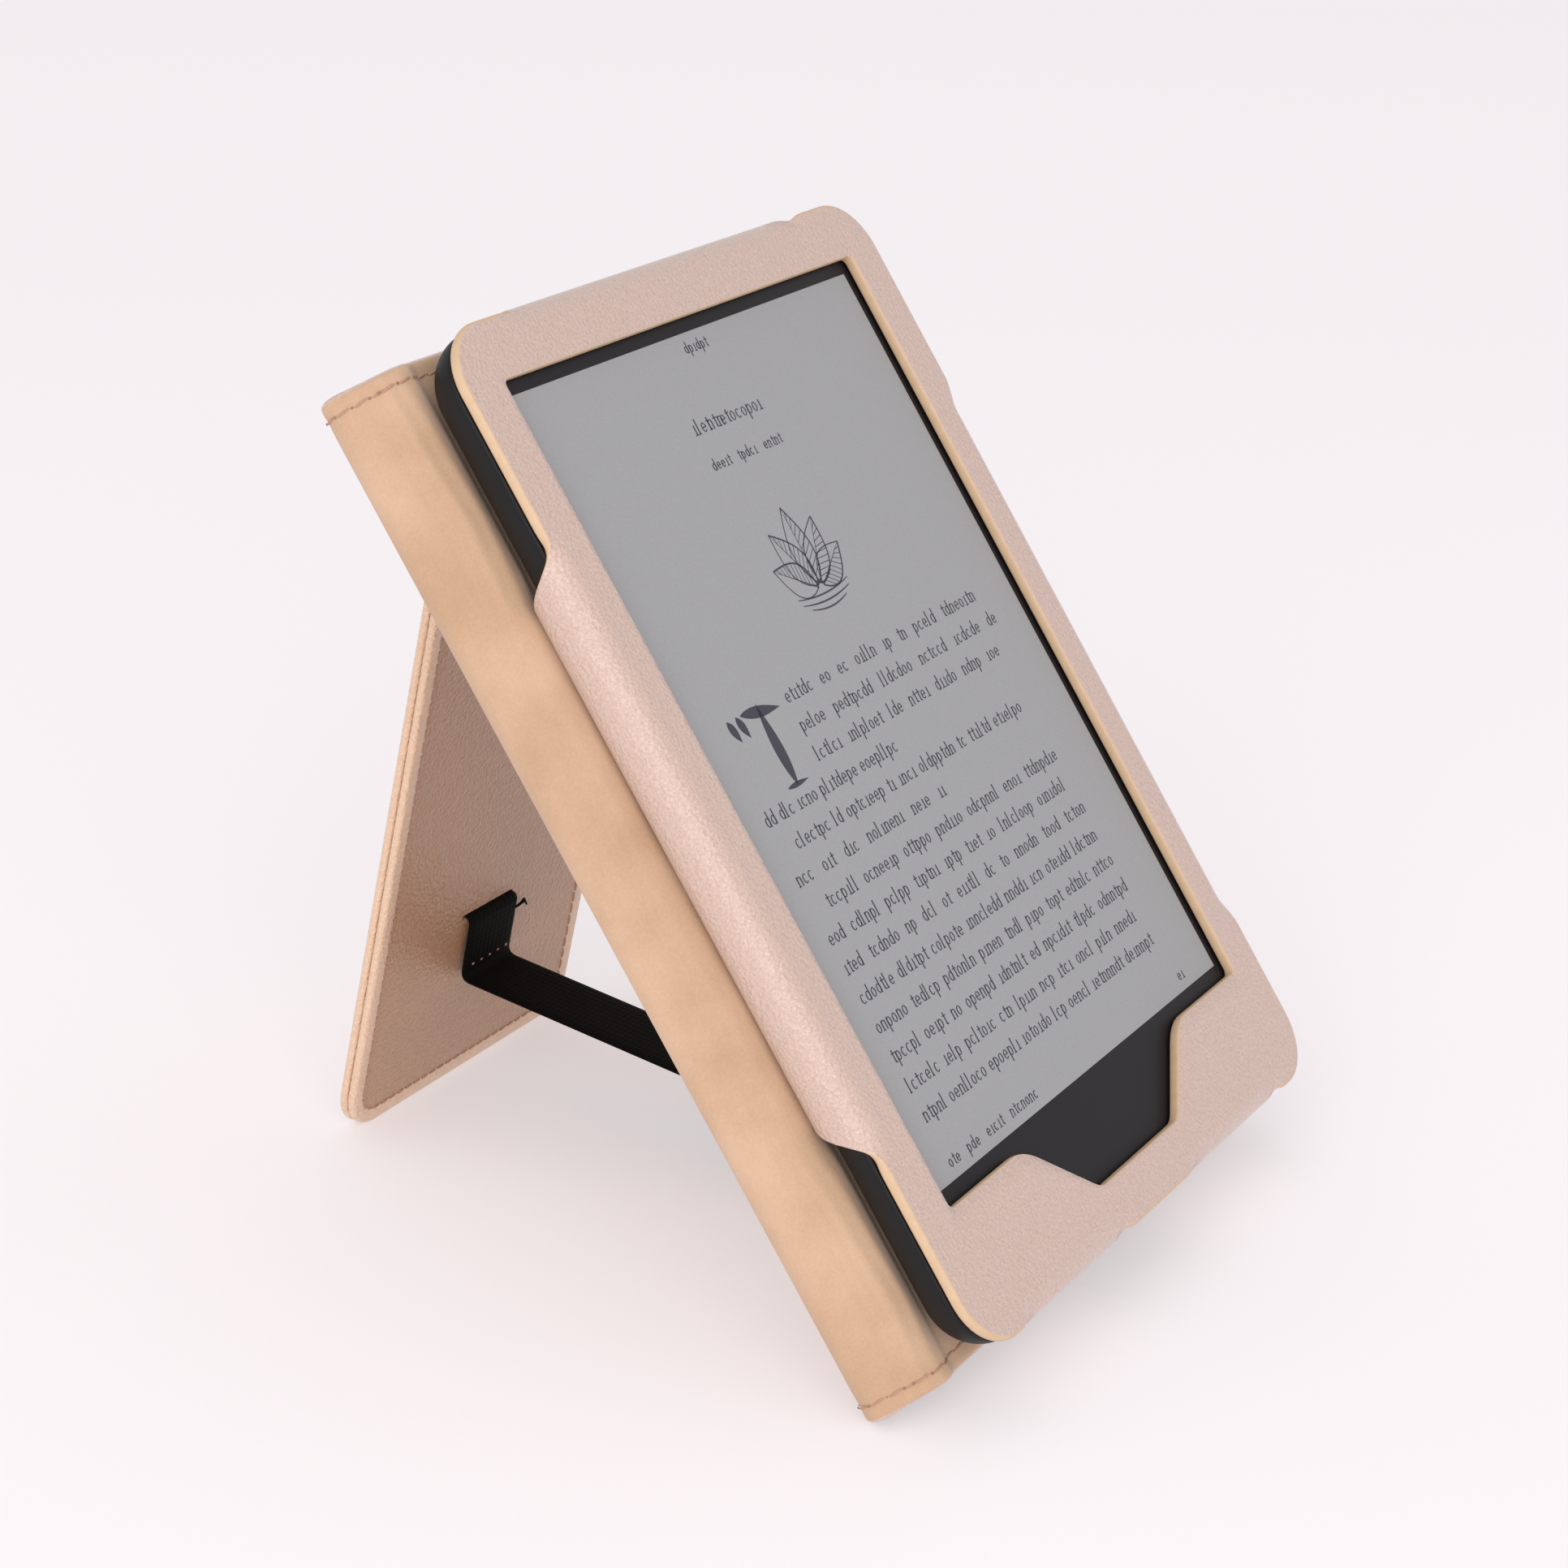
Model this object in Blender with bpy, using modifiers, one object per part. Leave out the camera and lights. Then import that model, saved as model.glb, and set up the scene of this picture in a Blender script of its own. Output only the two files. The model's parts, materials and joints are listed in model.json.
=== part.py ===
"""E-reader standing in a folding leather case.

The reader is a flat tablet with a paper-like display. It sits in a case that has a front
frame, wraps round its sides, a back panel, a spine and a cover. The cover is folded right
round behind the reader, and a kickstand leg hinged on the cover's lining props it up. An
elastic strap between the leg and the cover stops the leg from opening further.

Shapes are drawn in the reader's own frame: X to the right, Y up the screen, Z out of the
screen, with the origin in the middle of the display at the glass. An empty turns that frame
into the row frame, +Z up, with the part standing on Z = 0.
"""

import math

import bmesh
import bpy
from mathutils import Matrix, Vector

MM = 0.001
GAP = 0.3

# The reader, in millimetres.
READER_HALF_WIDTH = 62.3
READER_TOP = 80.9
READER_BOTTOM = -93.3
READER_DEPTH = 8.1
READER_CORNER = 10.0
SIDE_ROUNDING = 7.0
WALL = 1.2
GLASS_THICK = 0.8
GLASS_HALF_WIDTH = READER_HALF_WIDTH - WALL - GAP
GLASS_BOTTOM = READER_BOTTOM + WALL + GAP
GLASS_TOP = READER_TOP - WALL - GAP
GLASS_CORNER = READER_CORNER - WALL - GAP

# What sits inside the reader, and the openings in its bottom edge.
SCREW_PLACES = [(x, y) for x in (-56.6, 56.6) for y in (-70.0, -6.0, 64.0)]
SCREW_HEAD_RADIUS = 1.7
SCREW_SHANK_RADIUS = 0.75
BOSS_RADIUS = 2.0
PORT_X = -6.5
PORT_HALF_WIDTH = 4.7
BUTTON_X = 6.5
BUTTON_HALF_WIDTH = 5.4
BUTTON_INNER_Y = -90.6
EDGE_MID_Z = -4.0
LIGHT_X = 14.6

# The stand pose: how far the screen leans back, and the leg's angle to the screen's plane.
LEAN = math.radians(35.0)
LEG_ANGLE = math.radians(46.5)

# The case.
LEATHER = 0.8
WRAP_REACH = 1.1
WRAP_START = 4.5
FRAME_LOW = 0.3
FRAME_HIGH = 2.2
FRAME_HALF_WIDTH = 62.2
FRAME_TOP = 81.0
FRAME_BOTTOM = -93.1
FRAME_CORNER = 9.5
WINDOW_HALF_WIDTH = 53.6
WINDOW_TOP = 71.6
WINDOW_BOTTOM = -71.9
NOTCH_BOTTOM = -85.1
NOTCH_HALF_TOP = 29.5
NOTCH_HALF_BOTTOM = 14.7
FLAP_LOW = -52.3
FLAP_HIGH = 39.0
TOP_WRAP_HALF = 38.0
BOTTOM_WRAP_IN = 17.3
BOTTOM_WRAP_OUT = 44.5
PANEL_TOP = 81.4
PANEL_BOTTOM = -95.2
PANEL_CORNER = 4.0
PANEL_LEFT = -57.5
PANEL_RIGHT = 63.9
BACK_TOP_Z = -9.6
SKIN = 0.6
BOARD = 1.0

# The fold behind the reader: spine and cover in section, X and Z.
SPINE_PIVOT = Vector((-61.97, 0.0, -8.30))
SPINE_START = Vector((-59.8, 0.0, -11.0))
SPINE_ANGLE = math.radians(215.0)
SPINE_LENGTH = 8.5
COVER_PIVOT = Vector((-67.93, 0.0, -18.41))
COVER_LEFT = -63.9
COVER_RIGHT = 67.0
COVER_MID_Z = -20.6
COVER_LINING_LOW = COVER_MID_Z - BOARD / 2 - GAP - SKIN
FOLD_RADIUS = 2.6
HINGE_LEATHER_HALF = 0.8

# The kickstand leg.
LEG_CENTRE_X = 1.7
LEG_HALF_WIDTH = 34.0
LEG_HINGE_Y = 72.4
LEG_HINGE_Z = COVER_LINING_LOW - 1.0
LEG_SKIN = 0.8
LEG_BOARD = 1.0
LEG_START = 3.0
LEG_CORNER = 8.0
FOOT_CUT = 0.5
LEG_OVERHANG = 0.4
SLOT_HALF_LENGTH = 7.2
SLOT_HALF_WIDTH = 0.8
STRAP_WIDTH = 15.0
STRAP_CENTRE_X = 2.5
STRAP_THICK = 1.0
STRAP_FOOT_DISTANCE = 22.4
SLOT_FOOT_DISTANCE = 35.0
STRAP_COVER_Y = -88.3

# Upwards in the reader's frame, and how far below the origin the part stands.
UP = Vector((0, math.cos(LEAN), math.sin(LEAN)))
GROUND = UP.dot(Vector((0, PANEL_BOTTOM, COVER_LINING_LOW))) + FOOT_CUT

for old in list(bpy.data.objects):
    bpy.data.objects.remove(old, do_unlink=True)

scene = bpy.context.scene
parts = bpy.data.collections.new("e_reader_in_folio")
cutters = bpy.data.collections.new("cutters")
scene.collection.children.link(parts)
scene.collection.children.link(cutters)


def linear(byte):
    """One sRGB channel, 0 to 255, as a linear value."""
    value = byte / 255.0
    if value <= 0.04045:
        return value / 12.92
    return ((value + 0.055) / 1.055) ** 2.4


def finish(name, colour, roughness, metallic=0.0):
    """A Principled material in one colour."""
    material = bpy.data.materials.new(name)
    material.use_nodes = True
    shader = material.node_tree.nodes["Principled BSDF"]
    shader.inputs["Base Color"].default_value = [linear(c) for c in colour] + [1.0]
    shader.inputs["Roughness"].default_value = roughness
    shader.inputs["Metallic"].default_value = metallic
    return material


ROSE_LEATHER = finish("rose_leather", (216, 190, 178), 0.45)
LINING = finish("beige_lining", (222, 190, 160), 0.95)
CARD = finish("stiffener_card", (196, 180, 160), 0.9)
BLACK_SHELL = finish("black_shell", (34, 34, 35), 0.55)
LENS = finish("front_lens", (54, 50, 57), 0.25)
DISPLAY = finish("display_film", (165, 166, 167), 0.7)
ACRYLIC = finish("light_guide_acrylic", (225, 232, 235), 0.1)
MAGNESIUM = finish("magnesium_frame", (120, 122, 125), 0.5, 0.9)
BOARD_GREEN = finish("circuit_board", (22, 70, 48), 0.5)
STEEL = finish("steel", (190, 190, 188), 0.3, 1.0)
POUCH = finish("battery_pouch", (178, 180, 184), 0.4, 0.6)
BLACK_PLASTIC = finish("black_plastic", (24, 24, 25), 0.5)
POLYIMIDE = finish("polyimide_flex", (176, 108, 34), 0.4)
RUBBER = finish("black_gasket", (18, 18, 19), 0.9)
CHIP = finish("chip_plastic", (30, 30, 33), 0.5)
CLEAR = finish("clear_polycarbonate", (230, 232, 230), 0.1)
WEBBING = finish("black_elastic", (20, 20, 22), 0.9)


def empty(name, place, parent=None, turn=0.0):
    """An empty at a place given in millimetres, turned about X."""
    marker = bpy.data.objects.new(name, None)
    parts.objects.link(marker)
    marker.location = Vector(place) * MM
    marker.rotation_euler = (turn, 0.0, 0.0)
    marker.parent = parent
    return marker


# The reader's frame stands up by a right angle less the lean.
READER = empty("reader_frame", (0, 0, 0), turn=math.pi / 2 - LEAN)
SPINE = empty("spine_hinge", SPINE_PIVOT, READER)
COVER = empty("cover_hinge", COVER_PIVOT - SPINE_PIVOT, SPINE)
LEG_HINGE = Vector((LEG_CENTRE_X, LEG_HINGE_Y, LEG_HINGE_Z))
LEG = empty("stand_hinge", LEG_HINGE - COVER_PIVOT, COVER, LEG_ANGLE)
BUTTON_PLACE = Vector((BUTTON_X, BUTTON_INNER_Y, EDGE_MID_Z))
BUTTON = empty("button_slide", BUTTON_PLACE, READER)
ORIGINS = {
    READER: Vector((0, 0, 0)),
    BUTTON: BUTTON_PLACE,
    SPINE: SPINE_PIVOT,
    COVER: COVER_PIVOT,
    LEG: Vector((0, 0, 0)),
}


def place(item, name, material, parent):
    """Name an object, give it a material and hang it on its joint's empty."""
    item.name = name
    item.data.name = name
    item.data.materials.clear()
    item.data.materials.append(material)
    item.parent = parent
    item.location = item.location - ORIGINS[parent] * MM
    return item


def fillet(points, radii, steps=5):
    """A closed outline with each corner rounded by an arc of its own radius."""
    rounded = []
    count = len(points)
    for index in range(count):
        corner = Vector(points[index])
        radius = radii[index] if hasattr(radii, "__len__") else radii
        if radius <= 0:
            rounded.append(corner)
            continue
        to_last = (Vector(points[index - 1]) - corner).normalized()
        to_next = (Vector(points[(index + 1) % count]) - corner).normalized()
        half_angle = to_last.angle(to_next) / 2
        reach = radius / math.tan(half_angle)
        middle = corner + (to_last + to_next).normalized() * (radius / math.sin(half_angle))
        first = corner + to_last * reach - middle
        last = corner + to_next * reach - middle
        sweep = first.angle_signed(last)
        for step in range(steps + 1):
            turn = Matrix.Rotation(-sweep * step / steps, 2)
            rounded.append(middle + turn @ first)
    return rounded


def rectangle(left, right, bottom, top, radius=0.0, steps=5):
    """A rectangle's outline with round corners."""
    corners = [(left, bottom), (right, bottom), (right, top), (left, top)]
    return fillet(corners, radius, steps)


def circle(x, y, radius, count=12):
    """A round hole's outline."""
    angles = [2 * math.pi * index / count for index in range(count)]
    return [(x + radius * math.cos(a), y + radius * math.sin(a)) for a in angles]


def prism(outlines, low, high, axis="Z"):
    """A mesh object: flat outlines, the first the outer one, filled and given thickness.

    Along Z the outline is X and Y. Along Y it is X and Z, and along X it is Y and Z.
    """
    curve = bpy.data.curves.new("outline", "CURVE")
    curve.dimensions = "2D"
    curve.fill_mode = "BOTH"
    curve.extrude = (high - low) / 2 * MM
    for outline in outlines:
        spline = curve.splines.new("POLY")
        spline.points.add(len(outline) - 1)
        for point, (u, v) in zip(spline.points, outline):
            point.co = (u * MM, v * MM, 0.0, 1.0)
        spline.use_cyclic_u = True
    guide = bpy.data.objects.new("outline", curve)
    parts.objects.link(guide)
    middle = (high + low) / 2 * MM
    if axis == "Z":
        guide.location = (0, 0, middle)
    elif axis == "Y":
        guide.rotation_euler = (math.pi / 2, 0, 0)
        guide.location = (0, middle, 0)
    else:
        guide.rotation_euler = (math.pi / 2, 0, math.pi / 2)
        guide.location = (middle, 0, 0)
    bpy.context.view_layer.update()
    seen = guide.evaluated_get(bpy.context.evaluated_depsgraph_get())
    mesh = bpy.data.meshes.new_from_object(seen)
    mesh.transform(guide.matrix_world)
    shape = bmesh.new()
    shape.from_mesh(mesh)
    bmesh.ops.remove_doubles(shape, verts=shape.verts, dist=1e-6)
    bmesh.ops.recalc_face_normals(shape, faces=shape.faces)
    shape.to_mesh(mesh)
    shape.free()
    bpy.data.objects.remove(guide)
    solid = bpy.data.objects.new("prism", mesh)
    parts.objects.link(solid)
    return solid


def block(low, high, edge=0.0):
    """A box between two corners, with its edges rounded by a bevel."""
    size = Vector(high) - Vector(low)
    shape = bmesh.new()
    bmesh.ops.create_cube(shape, size=1.0)
    bmesh.ops.scale(shape, vec=size * MM, verts=shape.verts)
    bmesh.ops.translate(shape, vec=(Vector(high) + Vector(low)) / 2 * MM, verts=shape.verts)
    mesh = bpy.data.meshes.new("block")
    shape.to_mesh(mesh)
    shape.free()
    solid = bpy.data.objects.new("block", mesh)
    parts.objects.link(solid)
    if edge > 0:
        bevel = solid.modifiers.new("edges", "BEVEL")
        bevel.width = edge * MM
        bevel.segments = 2
    return solid


def drum(centre, radius, low, high, sides=16, axis="Z"):
    """A cylinder along Z, or along Y for a pin that enters an edge."""
    shape = bmesh.new()
    bmesh.ops.create_cone(
        shape,
        cap_ends=True,
        segments=sides,
        radius1=radius * MM,
        radius2=radius * MM,
        depth=(high - low) * MM,
    )
    if axis == "Y":
        bmesh.ops.rotate(shape, matrix=Matrix.Rotation(math.pi / 2, 3, "X"), verts=shape.verts)
        middle = Vector((centre[0], (high + low) / 2, centre[1]))
    else:
        middle = Vector((centre[0], centre[1], (high + low) / 2))
    bmesh.ops.translate(shape, vec=middle * MM, verts=shape.verts)
    mesh = bpy.data.meshes.new("drum")
    shape.to_mesh(mesh)
    shape.free()
    solid = bpy.data.objects.new("drum", mesh)
    parts.objects.link(solid)
    return solid


def cut(target, cutter, operation="DIFFERENCE"):
    """Take a cutter out of a piece, or join it on, with a Boolean modifier."""
    for collection in list(cutter.users_collection):
        collection.objects.unlink(cutter)
    cutters.objects.link(cutter)
    cutter.hide_render = True
    cutter.display_type = "WIRE"
    cutter.name = "cutter"
    cutter.parent = READER
    boolean = target.modifiers.new("cut", "BOOLEAN")
    boolean.object = cutter
    boolean.operation = operation
    return target


def tray(half_width, low_y, high_y, low_z, high_z, corner, rounding):
    """A closed slab with round corners, and a wide round edge along its back."""
    solid = block((-half_width, low_y, low_z), (half_width, high_y, high_z))
    shape = bmesh.new()
    shape.from_mesh(solid.data)
    uprights = [edge for edge in shape.edges if abs(edge.verts[0].co.z - edge.verts[1].co.z) > MM]
    bmesh.ops.bevel(shape, geom=uprights, offset=corner * MM, segments=8, profile=0.5, affect="EDGES")
    low = low_z * MM + 1e-6
    rim = [edge for edge in shape.edges if all(vertex.co.z < low for vertex in edge.verts)]
    bmesh.ops.bevel(shape, geom=rim, offset=rounding * MM, segments=6, profile=0.5, affect="EDGES")
    shape.to_mesh(solid.data)
    shape.free()
    return solid


def rear_housing():
    """The reader's moulded back, a tray with screw bosses, a port hole and a button hole."""
    shell = tray(
        READER_HALF_WIDTH, READER_BOTTOM, READER_TOP, -READER_DEPTH, -0.1, READER_CORNER, SIDE_ROUNDING
    )
    pocket = tray(
        READER_HALF_WIDTH - WALL,
        READER_BOTTOM + WALL,
        READER_TOP - WALL,
        -READER_DEPTH + WALL,
        1.0,
        READER_CORNER - WALL,
        SIDE_ROUNDING - WALL,
    )
    cut(shell, pocket)
    for x, y in SCREW_PLACES:
        cut(shell, drum((x, y), BOSS_RADIUS, -7.1, -3.9), "UNION")
    for x, y in SCREW_PLACES:
        cut(shell, drum((x, y), SCREW_SHANK_RADIUS + 0.35, -6.6, -3.0))
    port_reach = PORT_HALF_WIDTH + 0.5
    cut(shell, block((PORT_X - port_reach, -97, -6.0), (PORT_X + port_reach, -88, -2.2)))
    button_reach = BUTTON_HALF_WIDTH + 0.4
    cut(shell, block((BUTTON_X - button_reach, -97, -5.7), (BUTTON_X + button_reach, -89.6, -2.3)))
    cut(shell, drum((LIGHT_X, EDGE_MID_Z), 0.8, -97, -89, 12, "Y"))
    place(shell, "rear_housing", BLACK_SHELL, READER)


def display_stack():
    """Everything between the glass and the metal frame, front to back."""
    half = GLASS_HALF_WIDTH
    outer = rectangle(-half, half, GLASS_BOTTOM, GLASS_TOP, GLASS_CORNER, 8)
    glass = prism([outer], -GLASS_THICK, 0.0)
    place(glass, "front_glass", LENS, READER)
    inner = rectangle(-55.6, 55.6, -73.6, 73.2, 3.0, 4)
    gasket = prism([outer, inner], -1.9, -1.1)
    place(gasket, "display_gasket", RUBBER, READER)
    guide = prism([rectangle(-54.8, 54.8, -72.8, 72.4, 1.5, 3)], -1.6, -1.1)
    place(guide, "light_guide", ACRYLIC, READER)
    panel = prism([rectangle(-54.6, 54.6, -72.6, 72.2, 1.0, 3)], -2.5, -1.9)
    place(panel, "display_panel", DISPLAY, READER)


def metal_frame():
    """The stamped frame that stiffens the reader, with its screws."""
    outer = rectangle(-59.6, 59.6, -84.4, 77.2, 7.0, 5)
    windows = [
        rectangle(-46, -4, 14, 62, 4.0, 4),
        rectangle(4, 46, 14, 62, 4.0, 4),
        rectangle(-46, 46, -68, -56, 3.0, 4),
    ]
    holes = [circle(x, y, 1.2) for x, y in SCREW_PLACES]
    plate = prism([outer] + windows + holes, -3.5, -2.8)
    place(plate, "inner_frame", MAGNESIUM, READER)
    for number, (x, y) in enumerate(SCREW_PLACES, 1):
        shank = drum((x, y), SCREW_SHANK_RADIUS, -5.6, -2.35, 12)
        head = drum((x, y), SCREW_HEAD_RADIUS, -2.6, -2.2, 16)
        cut(shank, head, "UNION")
        place(shank, f"frame_screw_{number}", STEEL, READER)


def electronics():
    """Board, battery, port, switch, sensor and cables behind the metal frame."""
    corners = [(-50, -84.4), (50, -84.4), (50, -44), (18, -44), (18, -58), (-50, -58)]
    board = prism([fillet(corners, 2.0, 3)], -4.6, -3.8)
    place(board, "main_board", BOARD_GREEN, READER)
    place(block((20, -80, -6.2), (46, -48, -4.9), 0.3), "shield_can_large", STEEL, READER)
    place(block((-14, -80, -6.0), (6, -62, -4.9), 0.3), "shield_can_small", STEEL, READER)
    place(block((-34, -78, -5.9), (-20, -64, -4.9), 0.15), "storage_chip", CHIP, READER)
    place(block((-48, -54, -6.3), (14, 40, -3.9), 1.0), "battery_pack", POUCH, READER)
    place(block((-46, -57.4, -5.6), (-34, -54.6, -4.0), 0.2), "battery_lead", POLYIMIDE, READER)
    place(block((24, -40, -4.4), (44, 10, -4.0)), "display_flex", POLYIMIDE, READER)
    place(block((-24, 66, -5.2), (24, 74, -4.0), 0.4), "antenna_module", BLACK_PLASTIC, READER)
    place(block((50, -30, -5.0), (54, -26, -4.0), 0.1), "hall_sensor", CHIP, READER)
    place(block((-50, -79.6, -2.4), (50, -76.4, -1.95)), "light_strip", POLYIMIDE, READER)
    half = PORT_HALF_WIDTH
    port = block((PORT_X - half, -92.2, -5.6), (PORT_X + half, -85.0, -2.6), 0.9)
    cut(port, block((PORT_X - 4.2, -94.0, -5.2), (PORT_X + 4.2, -86.2, -3.0)))
    place(port, "usb_c_port", STEEL, READER)
    tongue = block((PORT_X - 3.3, -91.4, -4.4), (PORT_X + 3.3, -86.5, -3.8), 0.1)
    place(tongue, "port_tongue", BLACK_PLASTIC, READER)
    low = (BUTTON_X - BUTTON_HALF_WIDTH, READER_BOTTOM, EDGE_MID_Z - 1.3)
    high = (BUTTON_X + BUTTON_HALF_WIDTH, BUTTON_INNER_Y, EDGE_MID_Z + 1.3)
    place(block(low, high, 0.4), "power_button", BLACK_PLASTIC, BUTTON)
    switch = block((BUTTON_X - 2.4, -89.6, -5.3), (BUTTON_X + 2.4, -86.0, -3.0), 0.2)
    place(switch, "button_switch", STEEL, READER)
    pipe = drum((LIGHT_X, EDGE_MID_Z), 0.5, -92.4, -87.6, 12, "Y")
    place(pipe, "status_light_pipe", CLEAR, READER)


def window_outline():
    """The screen window with the notch that leaves the chin open."""
    corners = [
        (-WINDOW_HALF_WIDTH, WINDOW_BOTTOM),
        (-NOTCH_HALF_TOP, WINDOW_BOTTOM),
        (-NOTCH_HALF_BOTTOM, NOTCH_BOTTOM),
        (NOTCH_HALF_BOTTOM, NOTCH_BOTTOM),
        (NOTCH_HALF_TOP, WINDOW_BOTTOM),
        (WINDOW_HALF_WIDTH, WINDOW_BOTTOM),
        (WINDOW_HALF_WIDTH, WINDOW_TOP),
        (-WINDOW_HALF_WIDTH, WINDOW_TOP),
    ]
    return fillet(corners, [1.5, 6.0, 3.0, 3.0, 6.0, 1.5, 1.5, 1.5], 4)


def wrap_section(edge, side):
    """The leather's path round one edge: over the frame's shoulder, down the side and in under.

    The section is closed: the outer path one way, and the inner path back.
    """
    shoulder = 3.2
    heel = 6.8
    turn_in = 14.0
    floor = BACK_TOP_Z + GAP
    steps = 8
    outer = [(edge - WRAP_START, FRAME_HIGH)]
    inner = [(edge - WRAP_START, FRAME_HIGH - LEATHER)]
    bends = [
        (edge - shoulder, FRAME_HIGH - shoulder, shoulder, math.pi / 2, 0.0),
        (edge - heel, floor + heel, heel, 0.0, -math.pi / 2),
    ]
    for u, z, radius, first, last in bends:
        for step in range(steps + 1):
            angle = first + (last - first) * step / steps
            outer.append((u + radius * math.cos(angle), z + radius * math.sin(angle)))
            small = radius - LEATHER
            inner.append((u + small * math.cos(angle), z + small * math.sin(angle)))
    outer.append((edge - turn_in, floor))
    inner.append((edge - turn_in, floor + LEATHER))
    return [(side * u, z) for u, z in outer + inner[::-1]]


def frame_outline():
    """The front frame's outer edge, cut back where the leather wraps leave it.

    Each row is a corner and its radius, up the right half; the left half is its mirror.
    """
    recess = WRAP_REACH - WRAP_START - GAP
    side = READER_HALF_WIDTH + recess
    top = READER_TOP + recess
    bottom = READER_BOTTOM - recess
    half = FRAME_HALF_WIDTH
    right = [
        (BOTTOM_WRAP_IN - GAP, FRAME_BOTTOM, 1.0),
        (BOTTOM_WRAP_IN - GAP, bottom, 0.0),
        (BOTTOM_WRAP_OUT + GAP, bottom, 0.0),
        (BOTTOM_WRAP_OUT + GAP, FRAME_BOTTOM, 1.0),
        (half, FRAME_BOTTOM, FRAME_CORNER),
        (half, FLAP_LOW - GAP, 1.5),
        (side, FLAP_LOW - GAP, 0.0),
        (side, FLAP_HIGH + GAP, 0.0),
        (half, FLAP_HIGH + GAP, 1.5),
        (half, FRAME_TOP, FRAME_CORNER),
        (TOP_WRAP_HALF + GAP, FRAME_TOP, 1.5),
        (TOP_WRAP_HALF + GAP, top, 0.0),
    ]
    rows = right + [(-x, y, radius) for x, y, radius in reversed(right)]
    return fillet([(x, y) for x, y, radius in rows], [radius for x, y, radius in rows])


def case_front():
    """The stiff front frame, and the leather wraps that hold the reader to the back."""
    frame = prism([frame_outline(), window_outline()], FRAME_LOW, FRAME_HIGH)
    place(frame, "front_frame", ROSE_LEATHER, READER)
    side_edge = READER_HALF_WIDTH + WRAP_REACH
    left = prism([wrap_section(side_edge, -1)], FLAP_LOW, FLAP_HIGH, "Y")
    place(left, "left_flap", ROSE_LEATHER, READER)
    right = prism([wrap_section(side_edge, 1)], FLAP_LOW, FLAP_HIGH, "Y")
    place(right, "right_wrap", ROSE_LEATHER, READER)
    top = prism([wrap_section(READER_TOP + WRAP_REACH, 1)], -TOP_WRAP_HALF, TOP_WRAP_HALF, "X")
    place(top, "top_wrap", ROSE_LEATHER, READER)
    section = wrap_section(WRAP_REACH - READER_BOTTOM, -1)
    low = prism([section], -BOTTOM_WRAP_OUT, -BOTTOM_WRAP_IN, "X")
    place(low, "bottom_wrap_left", ROSE_LEATHER, READER)
    high = prism([section], BOTTOM_WRAP_IN, BOTTOM_WRAP_OUT, "X")
    place(high, "bottom_wrap_right", ROSE_LEATHER, READER)


def panel(name, left, right, low_z, high_z, material, parent, inset=0.0):
    """One layer of a flat case panel, square at the fold and round at its free corners."""
    corners = [(left, PANEL_BOTTOM), (right, PANEL_BOTTOM), (right, PANEL_TOP), (left, PANEL_TOP)]
    corners = [(x - math.copysign(inset, x), y - math.copysign(inset, y)) for x, y in corners]
    outline = fillet(corners, [0.0, PANEL_CORNER, PANEL_CORNER, 0.0], 5)
    return place(prism([outline], low_z, high_z), name, material, parent)


def case_back():
    """The back panel under the reader: lining, stiffener and leather."""
    lining_low = BACK_TOP_Z - SKIN
    board_low = lining_low - GAP - BOARD
    skin_low = board_low - GAP - SKIN
    panel("back_lining", PANEL_LEFT, PANEL_RIGHT, lining_low, BACK_TOP_Z, LINING, READER)
    panel("back_board", PANEL_LEFT, PANEL_RIGHT, board_low, board_low + BOARD, CARD, READER, 1.5)
    panel("back_leather", PANEL_LEFT, PANEL_RIGHT, skin_low, skin_low + SKIN, ROSE_LEATHER, READER)


def along_spine(distance, offset):
    """A point of the spine's section, along it and out from its middle towards the leather."""
    along = Vector((math.cos(SPINE_ANGLE), math.sin(SPINE_ANGLE)))
    across = Vector((-along.y, along.x))
    start = Vector((SPINE_START.x, SPINE_START.z))
    return start + along * distance + across * offset


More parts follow.
